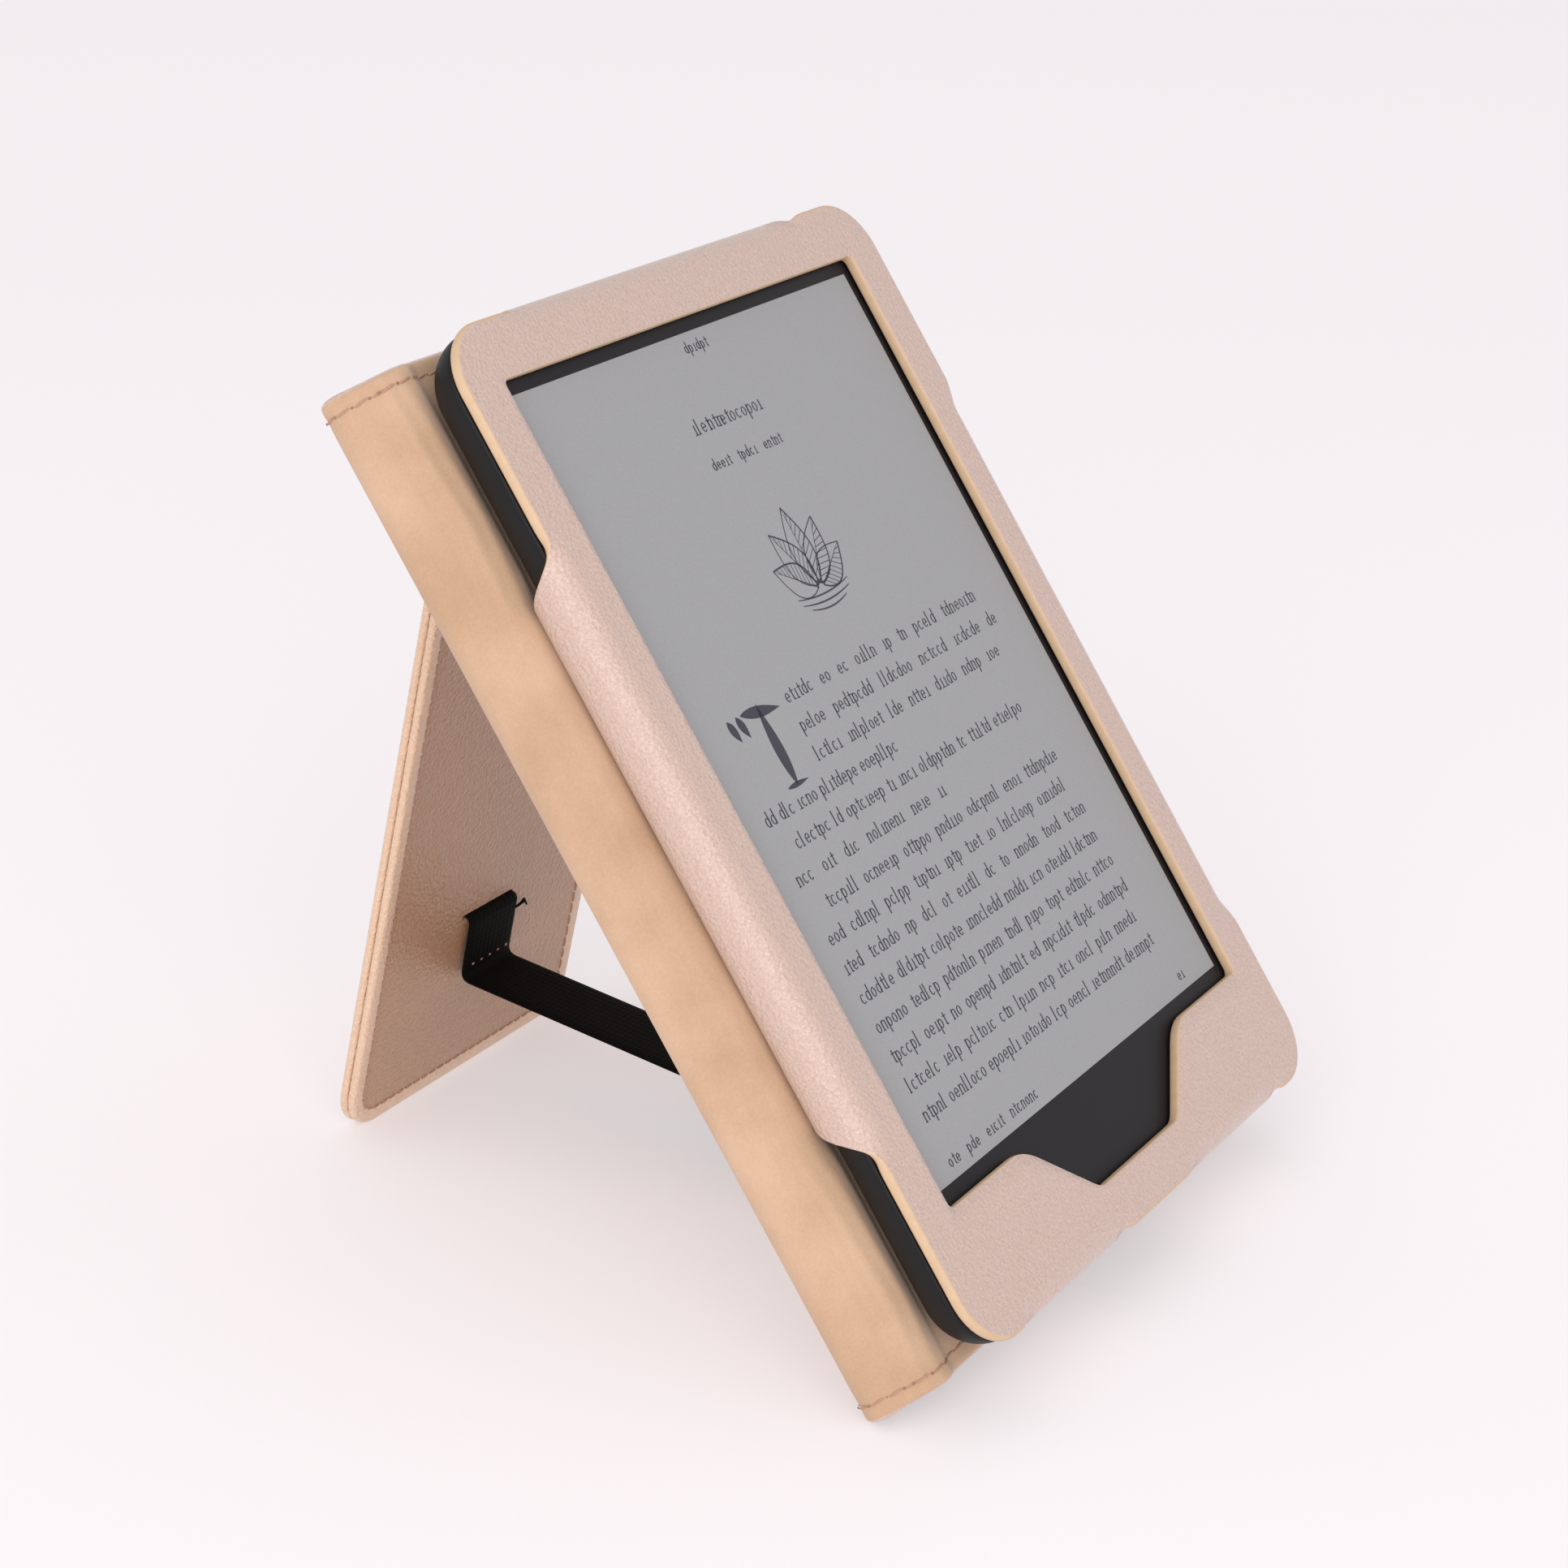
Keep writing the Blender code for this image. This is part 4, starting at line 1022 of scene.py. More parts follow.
def leaf_points(centre, angle, length, width, steps=14):
    """A leaf's outline: width times the sine of its run, tapered, either side of its rib."""
    run = np.linspace(0, 1, steps)
    swell = np.sin(math.pi * run**0.8) * width / 2
    over = np.stack([run * length, swell], 1)
    under = np.stack([run * length, -swell], 1)
    edge = np.concatenate([over, under[::-1][1:-1]])
    turn = np.array([[math.cos(angle), math.sin(angle)], [-math.sin(angle), math.cos(angle)]])
    return np.asarray(centre) + edge @ turn


def engraved_leaf(centre, angle, length, width):
    """A leaf as an engraver cuts it: two sides, a rib, and close hatching on its lower half.

    The sides are plus and minus the width times a sine; a hatch line runs from rib to side.
    """
    run = np.linspace(0, 1, 13)
    swell = np.sin(math.pi * run**0.8) * width / 2
    lines = [np.stack([run * length, sign * swell], 1) for sign in (1, -1, 0)]
    widths = [np.full(13, 0.2), np.full(13, 0.3), 0.22 * (1 - run) + 0.05]
    for start in np.linspace(0.1, 0.8, 9):
        top = start + 0.13
        side = -math.sin(math.pi * top**0.8) * width / 2 * 0.95
        lines.append(np.stack([(start + (top - start) * run) * length, run * side], 1))
        widths.append(np.full(13, 0.13))
    turn = np.array([[math.cos(angle), math.sin(angle)], [-math.sin(angle), math.cos(angle)]])
    return [np.asarray(centre) + line @ turn for line in lines], widths


def flat_prism(outline, low, high):
    """Points, walls and triangles of a thin plate with a given outline, its ends fans from the middle."""
    count = len(outline)
    floor = np.column_stack([outline, np.full(count, low)])
    roof = np.column_stack([outline, np.full(count, high)])
    middle = outline.mean(0)
    points = np.concatenate([floor, roof, [[*middle, low], [*middle, high]]])
    ring = np.arange(count)
    after = np.roll(ring, -1)
    walls = np.stack([ring, after, after + count, ring + count], 1)
    return points, walls, np.concatenate([fan(ring[::-1], 2 * count), fan(ring + count, 2 * count + 1)])


def page():
    """The electronic paper, and on it the ink: filler lines, a leaf ornament and a plain initial."""
    ground = 0.03
    ink_top = 0.05
    half = (PAGE_HALF_WIDTH, PAGE_HALF_HEIGHT)
    points, faces = blocks([(-half[0], -half[1], 0.002)], [(half[0], half[1], ground)])
    paper = make_piece("page_paper", READER, points, faces, [finish("paper")])
    bars, bowls = page_lines(np.random.default_rng(7))
    bars = np.array(bars)
    low = np.column_stack([bars[:, :2], np.full(len(bars), ground - 0.01)])
    high = np.column_stack([bars[:, 2:], np.full(len(bars), ink_top)])
    points, faces = blocks(low, high)
    text = make_piece("page_filler_bars", READER, points, faces, [finish("ink")])
    points, faces = bowl_strokes(bowls, ground - 0.01, ink_top)
    bowls = make_piece("page_filler_bowls", READER, points, faces, [finish("ink")])

    lines = []
    widths = []
    middle = np.array((-0.8, 21.5))
    for number in range(5):
        angle = math.radians(90 + (number - 2) * 30)
        reach = 14.0 - 1.5 * abs(number - 2)
        start = middle + 1.0 * np.array((math.cos(angle), math.sin(angle)))
        leaf_lines, leaf_widths = engraved_leaf(start, angle, reach, 6.2)
        lines += leaf_lines
        widths += leaf_widths
    run = np.linspace(-1, 1, 13)
    for drop, half in ((0.0, 8.0), (1.2, 7.4), (2.4, 5.6)):
        lines.append(np.stack([middle[0] + half * run, middle[1] - drop - 0.8 * (1 - run**2)], 1))
        widths.append(0.3 - 0.15 * run**2)
    points, faces = strokes(np.array(lines), np.array(widths), ground - 0.01, ink_top)
    engraving = make_piece("page_engraving", READER, points, faces, [finish("ink")])

    # The initial's place: a heavy upright under a bar, with two drops before it.
    stem_x = -33.0
    outlines = [
        leaf_points((stem_x, -4.2), math.radians(90), 14.5, 2.6),
        leaf_points((stem_x - 5.2, 9.6), math.radians(-8), 11.0, 2.0),
        leaf_points((stem_x - 3.0, -4.0), 0.0, 6.4, 0.9),
        leaf_points((-42.0, 9.8), math.radians(-72), 4.2, 1.8),
        leaf_points((-39.4, 9.8), math.radians(-72), 4.2, 1.8),
    ]
    all_points = []
    all_faces = []
    offset = 0
    for outline in outlines:
        points, walls, ends = flat_prism(outline, ground - 0.01, ink_top)
        all_points.append(points)
        all_faces += (walls + offset).tolist() + (ends + offset).tolist()
        offset += len(points)
    initial = make_piece("page_initial", READER, np.concatenate(all_points), all_faces, [finish("ink")])
    for piece in (paper, text, bowls, engraving, initial):
        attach(piece, "reader_and_holder")


# The folded panels: back, spine and cover, lining one side and leather the other.

PANEL_CORNER = 4.0
PANEL_HALF = 1.4
HINGE_HALF = 0.5
FOLD_HALF = 0.85
SPINE_TURN = math.radians(215.0)
SPINE_FALL_START = (-59.8, -11.0)
SPINE_LENGTH = 8.5
FOLD_RADIUS = 2.6
TURN_REACH = 2.6

# The lining stands up in a soft roll beside the reader, and more where no flap holds it down.
PILLOW = 1.25
SPRING = 1.2


def fold_places():
    """Across the case, the spine's direction and far end, and the centre of the fold's arc."""
    way = np.array([math.cos(SPINE_TURN), math.sin(SPINE_TURN)])
    end = np.array(SPINE_FALL_START) + way * SPINE_LENGTH
    return way, end, end + FOLD_RADIUS * np.array([-way[1], way[0]])


def bound_path():
    """The middle of the case in section, from the back panel's free edge to the cover's.

    It is straight under the reader, turns down along the spine by a quadratic curve, goes round
    the fold's arc and runs straight again as the cover. Returns each point's distance, its place
    and the lining's side, and the distances where the turn, the spine and the fold end.
    """
    panel = node_box(READER, "back_board")
    cover = node_box(READER, "cover_lining")
    right = node_box(READER, "back_leather")[1][0]
    panel_z = (panel[0][2] + panel[1][2]) / 2
    start = np.array(SPINE_FALL_START)
    spine_way, end, centre = fold_places()
    hinge_x = start[0] + TURN_REACH
    flat = spread(hinge_x, right, 3.0, 0.45, (hinge_x, right), 2.2)[::-1]
    path = [np.column_stack([flat, np.full(len(flat), panel_z)])]
    turn = np.linspace(0, 1, 21)[1:, None]
    soon = start + spine_way * TURN_REACH
    before = np.array([hinge_x, start[1]])
    path.append(before * (1 - turn) ** 2 + start * 2 * turn * (1 - turn) + soon * turn**2)
    run = np.linspace(0, 1, 21)[1:, None]
    path.append(soon * (1 - run) + end * run)
    angles = np.linspace(SPINE_TURN - math.pi / 2, 1.5 * math.pi, 25)[1:]
    path.append(centre + FOLD_RADIUS * np.column_stack([np.cos(angles), np.sin(angles)]))
    across = spread(centre[0], cover[1][0], 3.0, 0.45, (centre[0], cover[1][0]), 2.2)[1:]
    path.append(np.column_stack([across, np.full(len(across), centre[1] - FOLD_RADIUS)]))
    place = np.concatenate(path)
    ahead = unit(np.gradient(place, axis=0))
    lining_side = np.column_stack([ahead[:, 1], -ahead[:, 0]])
    distance = run_lengths(place)
    ends = np.cumsum([len(stretch) for stretch in path]) - 1
    return distance, place, lining_side, distance[ends[:4]]


def panel_grid(select, free_end):
    """Both skins of one stretch of the case, as grids of distance and height.

    A skin's point is the path's point plus the lining's side times half the thickness, which
    falls to nothing at the free edges as a quarter of an ellipse and dips at the hinge.
    """
    q, place, normal, (turn_from, turn_to, spine_to, fold_to) = bound_path()
    turn_middle = (turn_from + turn_to) / 2
    mid_spine = (turn_middle + spine_to) / 2
    box = node_box(READER, "cover_leather")
    bottom = box[0][1]
    top = box[1][1]
    dip = np.exp(-(((q - turn_from - 1.2) / 1.25) ** 2))
    fold = smooth_step(q, spine_to - 2.0, spine_to + 1.2) * (1 - smooth_step(q, fold_to + 0.2, fold_to + 2.4))
    pillow = smooth_step(q, turn_from - 1.0, turn_middle + 0.6)
    pillow = pillow * (1 - smooth_step(q, turn_middle + 0.8, spine_to + 1.5))
    half_front = PANEL_HALF + PILLOW * pillow - (PANEL_HALF - FOLD_HALF) * fold
    half_back = PANEL_HALF - (PANEL_HALF - HINGE_HALF) * dip - (PANEL_HALF - FOLD_HALF) * fold
    middle_row = int(np.argmin(np.abs(q - mid_spine)))
    use = slice(0, middle_row + 1) if select == "back" else slice(middle_row, len(q))
    q = q[use]
    place = place[use]
    normal = normal[use]
    pillow = pillow[use]
    half_front = half_front[use]
    half_back = half_back[use]
    end_distance = q - q[0] if free_end == "first" else q[-1] - q
    up = spread(bottom, top, 2.2, 0.35, (bottom, top), 2.4)
    middle = (bottom + top) / 2
    half_height = (top - bottom) / 2
    inside = np.clip(PANEL_CORNER - end_distance, 0, PANEL_CORNER)
    half_line = half_height - PANEL_CORNER + np.sqrt(PANEL_CORNER**2 - inside**2)
    y = middle + (up[None] - middle) * (half_line / half_height)[:, None]
    ax = PANEL_CORNER - np.broadcast_to(end_distance[:, None], y.shape)
    ay = np.abs(y - middle) - (half_height - PANEL_CORNER)
    rim = rim_distance(ax, ay, PANEL_CORNER)
    edge = rounded_edge(rim, 1.3)
    sizes = bpy.context.scene.case_sizes
    inset = sizes.stitch_inset / MM
    row = np.minimum(np.abs(y - bottom), np.abs(top - y))
    seam = 0.16 * np.exp(-(((row - inset) / 0.8) ** 2)) * (end_distance[:, None] > 2)
    flap = node_box(READER, "left_flap")
    free = smooth_step(np.maximum(flap[0][1] - y, y - flap[1][1]), -1.0, 6.0)
    ripple = 0.07 * np.sin(3.1 * q[:, None] + 1.3 * np.sin(y / 7.0) + 0.5 * np.sin(y / 2.7))
    ripple += 0.1 * np.sin(1.35 * q[:, None] + 0.9 * np.sin(y / 15.0) + 1.0)
    ripple = (ripple * (0.3 + 0.7 * free) + SPRING * free) * pillow[:, None]

    def skin(offset):
        """The path's points moved to the lining's side by the offset, all along the case."""
        moved = place[:, None] + normal[:, None] * offset[..., None]
        return np.stack([moved[..., 0], y, moved[..., 1]], -1)

    front = skin((half_front[:, None] - seam + ripple) * edge)
    back = skin(-(half_back[:, None] - 0.5 * seam) * edge)
    cell_rim = (rim[1:, 1:] + rim[:-1, :-1]) / 2
    bands = np.where(cell_rim < 0.5, 1, 0)
    return front, back, bands, q, inset


def stitches(name, local, rows, sizes):
    """Sewn thread: each stitch a bead laid along the row at a slant, with a dark bead of painted shade in each
    needle hole.

    Rows are (points, along, up) along each seam, a stitch apart.
    """
    centres, along, up = (np.concatenate(part) for part in zip(*rows))
    across = np.cross(up, along)
    slant = math.radians(9)
    slanted = along * math.cos(slant) + across * math.sin(slant)
    sideways = np.cross(up, slanted)
    points, faces = beads(centres + up * 0.06, slanted, sideways, up, sizes)
    sewn = make_piece(name, local, points, faces, [finish("thread")])
    pitch = bpy.context.scene.case_sizes.stitch_pitch / MM
    # Each needle hole is a flat bead in painted shade.
    ends = centres + along * (pitch / 2)
    points, faces = beads(ends + up * 0.02, along, across, up, (0.3, 0.24, 0.08))
    holes = make_piece(name + "_holes", local, points, faces, [finish("needle_hole_painted_shade")])
    return sewn, holes


def row_along(grid, q, height, pitch, first, last):
    """Stitch places along a panel's grid at one height, a pitch apart, with their directions.

    The grid's column nearest the height gives the line, and the points are read off it by length.
    """
    column = int(np.argmin(np.abs(grid[len(grid) // 2, :, 1] - height)))
    line = grid[:, column]
    lengths = run_lengths(line)
    places = np.arange(np.interp(first, q, lengths), np.interp(last, q, lengths), pitch)
    centres = read_off(places, lengths, line)
    along = read_off(places + 0.3, lengths, line) - read_off(places - 0.3, lengths, line)
    along[:, 1] = 0
    along = unit(along)
    up = np.stack([along[:, 2], np.zeros(len(along)), -along[:, 0]], 1)
    return centres, along, up


def hinge_points():
    """Where the case starts and stops bending at its two hinges, in the row frame."""
    start = np.array(SPINE_FALL_START)
    hinge_x = start[0] + TURN_REACH - 0.3
    way, end, centre = fold_places()
    soon = start + way * 0.8
    places = [
        (hinge_x, 0.0, start[1]),
        (soon[0], 0.0, soon[1]),
        (end[0], 0.0, end[1]),
        (centre[0] + 1.4, 0.0, centre[1] - FOLD_RADIUS),
    ]
    return [tuple(to_row(READER, place)) for place in places]


def bound_panels():
    """The case's back with half its spine, and its cover with the other half, with their seams."""
    pitch = bpy.context.scene.case_sizes.stitch_pitch / MM
    back_start, back_end, cover_start, cover_end = hinge_points()
    finishes = [finish("beige_lining"), finish("rose_leather"), finish("rose_leather")]
    jobs = [
        (
            "back",
            "first",
            "back_and_spine",
            ("reader_and_holder", "spine", back_start, back_end),
            ("back_lining", "back_leather", "back_hinge_leather"),
        ),
        (
            "cover",
            "last",
            "cover_and_spine",
            ("spine", "front_cover", cover_start, cover_end),
            ("spine_lining", "spine_leather", "cover_hinge_leather", "cover_lining", "cover_leather"),
        ),
    ]
    for select, free_end, name, (body_a, body_b, start, end), replaced in jobs:
        front, back, bands, q, inset = panel_grid(select, free_end)
        points, faces, all_bands = two_skins(front, back, bands=bands)
        piece = make_piece(name, READER, points, faces, finishes, all_bands)
        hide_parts(*replaced)
        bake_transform(piece)
        bottom = front[..., 1].min() + inset
        top = front[..., 1].max() - inset
        margin = 5.0
        first = q[0] + (margin if free_end == "first" else 0.0)
        last = q[-1] - (margin if free_end == "last" else 0.0)
        rows = [row_along(front, q, height, pitch, first, last) for height in (bottom, top)]
        for sewn in stitches(name + "_stitching", READER, rows, (1.25, 0.26, 0.2)):
            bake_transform(sewn)


# The kickstand.

LEG_FOOT_RADIUS = 8.0
LEG_SEAM_INSET = 3.0

# The slot is this far above the strap's sewn tab.
SLOT_RISE = 1.4


def leg_layer(name, node, middle_z, half_front, half_back, slot_hole):
    """One leather layer of the leg: a rounded panel with a rolled rim.

    Its two skins are the middle plane plus and less half a thickness, which falls to nothing at
    the rim as a quarter of an ellipse. The front skin swells at the rim and dips at the seam.
    """
    low, high = node_box(LEG, node)
    top_radius = 2.0
    centre_x = (low[0] + high[0]) / 2
    half = (high[0] - low[0]) / 2
    across = spread(-half, half, 2.4, 0.3, (-half, half), 2.4)
    upward = spread(low[1], high[1], 2.4, 0.3, (low[1], high[1]), 3.0)
    hole = None
    if slot_hole:
        x0, x1, y0, y1 = slot_hole
        across = np.unique(np.concatenate([across, [x0 - centre_x, x1 - centre_x]]))
        upward = np.unique(np.concatenate([upward, [y0, y1]]))
        rows = np.searchsorted(upward, np.array([y0, y1]) - 1e-6)
        columns = np.searchsorted(across, np.array([x0, x1]) - centre_x - 1e-6)
        hole = [(*rows, *columns)]
    middle_y = (low[1] + high[1]) / 2
    half_y = (high[1] - low[1]) / 2
    corner = np.where(upward < middle_y, LEG_FOOT_RADIUS, top_radius)
    inside = np.clip(np.abs(upward - middle_y) - (half_y - corner), 0, corner)
    half_line = half - corner + np.sqrt(corner**2 - inside**2)
    x = across[None] * (half_line / half)[:, None]
    y = np.broadcast_to(upward[:, None], x.shape)
    ax = np.abs(x) - (half - corner[:, None])
    ay = np.abs(y - middle_y) - (half_y - corner[:, None])
    rim = rim_distance(ax, ay, corner[:, None])
    edge = rounded_edge(rim, 0.85)
    seam = 0.14 * np.exp(-(((rim - LEG_SEAM_INSET) / 0.6) ** 2))
    roll = 0.12 * (1 - smooth_step(rim, 2.0, 3.6))
    front_z = middle_z + (half_front + roll - seam) * edge
    back_z = middle_z - half_back * edge
    x = x + centre_x
    front = np.stack([x, y, front_z], -1)
    back = np.stack([x, y, back_z], -1)
    cell_rim = (rim[1:, 1:] + rim[:-1, :-1]) / 2
    # Cells inside the seam take the leather in painted shade; the rim band, the back and the walls take the
    # lighter copy, painted light on the lit edges.
    points, faces, bands = two_skins(front, back, hole, bands=np.where(cell_rim < LEG_SEAM_INSET, 1, 0))
    piece = make_piece(name, LEG, points, faces, [finish("leg_leather_painted_shade")] + [finish("leg_rim_painted_light")] * 2, bands)
    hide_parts(node)
    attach(piece, "kickstand")


def leg_seam(low, high, z, facing):
    """Stitch places round three sides of the leg, inset from its rim."""
    inset = LEG_SEAM_INSET
    pitch = bpy.context.scene.case_sizes.stitch_pitch / MM * 0.8
    radius = LEG_FOOT_RADIUS - inset
    box = (low[0] + inset, high[0] - inset, low[1] + inset, high[1] - inset)
    sides = [
        np.arange(box[2] + radius, box[3] - radius, pitch),
        np.arange(box[0] + radius, box[1] - radius, pitch)[::-1],
        np.arange(box[2] + radius, box[3] - radius, pitch)[::-1],
        np.arange(box[0] + radius, box[1] - radius, pitch),
    ]
    rim, outward = rectangle_rim(box, radius, sides, 3)
    keep = rim[:, 1] < high[1] - inset - 0.5
    rim = rim[keep]
    outward = outward[keep]
    centres = np.column_stack([rim, np.full(len(rim), z)])
    along = np.column_stack([-outward[:, 1], outward[:, 0], np.zeros(len(rim))])
    up = np.tile((0.0, 0.0, facing), (len(rim), 1))
    return centres, along, up


def kickstand():
    """The leg: two leather layers with their rims rolled towards each other, sewn together."""
    low, high = node_box(LEG, "stand_inner_leather")
    outer_low = node_box(LEG, "stand_outer_leather")[0]
    tab = node_box(LEG, "strap_tab")
    slot_y = tab[1][1] + SLOT_RISE
    slot_hole = (tab[0][0] - 1.6, tab[1][0] - 0.4, slot_y - 0.7, slot_y + 0.7)
    thickness = high[2] - outer_low[2]
    quarter = thickness / 4
    middle = high[2] - quarter
    leg_layer("leg_inner_layer", "stand_inner_leather", middle, quarter, quarter * 0.86, slot_hole)
    other = outer_low[2] + quarter
    leg_layer("leg_outer_layer", "stand_outer_leather", other, quarter * 0.86, quarter, None)
    rows_inner = leg_seam(low, high, high[2] - 0.1, 1.0)
    rows_outer = leg_seam(low, high, outer_low[2] + 0.02, -1.0)
    for piece in stitches("leg_stitching", LEG, [rows_inner, rows_outer], (1.0, 0.2, 0.16)):
        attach(piece, "kickstand")


def strip(name, path, width, thickness, centre_x, material):
    """A flat strap: a rounded slot-shaped section carried along a path of the reader's Y and Z.

    Across it, half the thickness is scaled by the root of one less the sixth power of the share
    of the half width, so that the faces stay flat nearly to the edge.
    """
    ahead = unit(np.gradient(path, axis=0))
    normal = np.column_stack([-ahead[:, 1], ahead[:, 0]])
    share = np.sin(np.linspace(-math.pi / 2, math.pi / 2, 25))
    x = np.broadcast_to(centre_x + share * width / 2, (len(path), len(share)))
    half = np.broadcast_to(thickness / 2 * (1 - share**6) ** 0.5, x.shape)
    skins = []
    for sign in (1, -1):
        y = path[:, None, 0] + sign * normal[:, None, 0] * half
        z = path[:, None, 1] + sign * normal[:, None, 1] * half
        skins.append(np.stack([x, y, z], -1))
    points, faces, _ = two_skins(skins[0], skins[1])
    length = np.broadcast_to(run_lengths(path)[:, None], x.shape)
    cloth = np.stack([length, x, np.zeros_like(x)], -1) * MM
    cloth = np.concatenate([cloth.reshape(-1, 3)] * 2)
    return make_piece(name, READER, points, faces, [material], cloth=cloth)


def smooth_path(corners, radius, step=0.5):
    """A line through corners with each inner corner rounded by a quadratic curve of that reach."""
    corners = np.asarray(corners, float)
    path = [corners[:1]]
    for last, here, after in zip(corners[:-2], corners[1:-1], corners[2:]):
        reach = min(radius, np.linalg.norm(here - last) / 2, np.linalg.norm(after - here) / 2)
        before = here + unit(last - here) * reach
        beyond = here + unit(after - here) * reach
        t = np.linspace(0, 1, 10)[:, None]
        path.append(before * (1 - t) ** 2 + here * 2 * t * (1 - t) + beyond * t**2)
    path.append(corners[-1:])
    line = np.concatenate(path)
    lengths = run_lengths(line)
    count = max(int(lengths[-1] / step), 8)
    return read_off(np.linspace(0, lengths[-1], count), lengths, line)


def leg_to_reader(y, z):
    """A point of the leg's middle plane, as Y and Z of the reader's frame."""
    return to_local(READER, to_row(LEG, (0.0, y, z)))[1:]


def stop_strap():
    """The elastic strap: out of the leg's slot, down its face, and straight across to the cover."""
    tab = node_box(LEG, "strap_tab")
    strap = node_box(READER, "elastic_strap")
    cover = node_box(READER, "cover_lining")
    centre_x = float((strap[0][0] + strap[1][0]) / 2)
    thick = 1.0
    face = tab[0][2] + thick / 2
    slot_y = tab[1][1] + SLOT_RISE
    bend_y = tab[0][1] - 1.2
    corners = [
        leg_to_reader(slot_y, -0.9),
        leg_to_reader(slot_y - 0.6, face),
        leg_to_reader(bend_y, face + 0.2),
        (strap[0][1] + 1.0, cover[0][2] - 0.5),
    ]
    path = smooth_path(corners, 2.0)
    piece = strip("stop_strap", path, tab[1][0] - tab[0][0], thick, centre_x, finish("black_elastic"))
    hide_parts("elastic_strap", "strap_tab")
    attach(piece, "front_cover")
    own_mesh(piece)

    # The row of thread that holds the turned end of the elastic, and its two loose tails.
    count = 5
    x = centre_x - LEG_SHIFT + (np.arange(count) - (count - 1) / 2) * 2.6 + 0.4
    sewn = np.column_stack([x, np.full(count, tab[0][1] + 1.4), np.full(count, face + thick / 2)])
    along = np.tile((1.0, 0.0, 0.0), (count, 1))
    up = np.tile((0.0, 0.0, 1.0), (count, 1))
    dots, holes = stitches("strap_stitching", LEG, [(sewn, along, up)], (0.42, 0.32, 0.22))
    for item in (dots, holes):
        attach(item, "kickstand")
    right = tab[1][0]
    for number, (rise, out) in enumerate(((0.5, 2.4), (-0.3, 3.0))):
        corners = [(0.0, 0.0), (out * 0.6, 0.2), (out, rise + 0.5), (out + 0.5, rise - 0.4)]
        tail = smooth_path(corners, 0.8, 0.2)
        beside = right - 0.4 + tail[:, 0]
        middle = np.column_stack([beside, tab[1][1] - 1.4 + tail[:, 1], np.full(len(tail), 1.2)])
        sides = 6
        turn = np.linspace(0, 2 * math.pi, sides, endpoint=False)
        ring = 0.24 * np.stack([np.zeros(sides), np.cos(turn), np.sin(turn)], 1)
        points = (middle[:, None] + ring[None]).reshape(-1, 3)
        end = np.arange(sides)
        faces = quads(len(tail), sides, close_columns=True).tolist()
        faces += [end[::-1].tolist(), (end + (len(tail) - 1) * sides).tolist()]
        loose = make_piece(f"strap_thread_tail_{number + 1}", LEG, points, faces, [finish("black_elastic")])
        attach(loose, "kickstand")


def stand_hinge():
    """The leather that the leg swings on, from the cover's lining into the leg's top."""
    box = node_box(READER, "stand_hinge_leather")
    leg_low, leg_high = node_box(LEG, "stand_board")
    centre_x = float((box[0][0] + box[1][0]) / 2)
    middle_z = (leg_low[2] + leg_high[2]) / 2
    flat = (box[0][2] + box[1][2]) / 2
    corners = [
        (box[1][1], flat),
        (box[0][1] + 2.4, flat - 0.1),
        leg_to_reader(-2.0, middle_z),
        leg_to_reader(-6.5, middle_z),
    ]
    path = smooth_path(corners, 2.4, 0.35)
    thickness = 0.9
    width = box[1][0] - box[0][0]
    piece = strip("leg_hinge_leather", path, width, thickness, centre_x, finish("rose_leather"))
    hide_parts("stand_hinge_leather")
    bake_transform(piece)


def carried_over():
    """Give every CAD node that still shows the finish of its slot in the record."""
    slots = {entry["node"]: entry["material_slot"] for entry in frame["record"]["subparts"]}
    for name, node in frame["nodes"].items():
        if node.hide_render:
            continue
        node.data.materials.clear()
        node.data.materials.append(finish(slots[name]))


# The stage.


def aim(item, target):
    """Turn a light or camera at a point, with its own Z pointing away from it."""
    direction = np.asarray(target, float) - np.array(item.location)
    item.rotation_euler = Vector(direction).to_track_quat("-Z", "Y").to_euler()


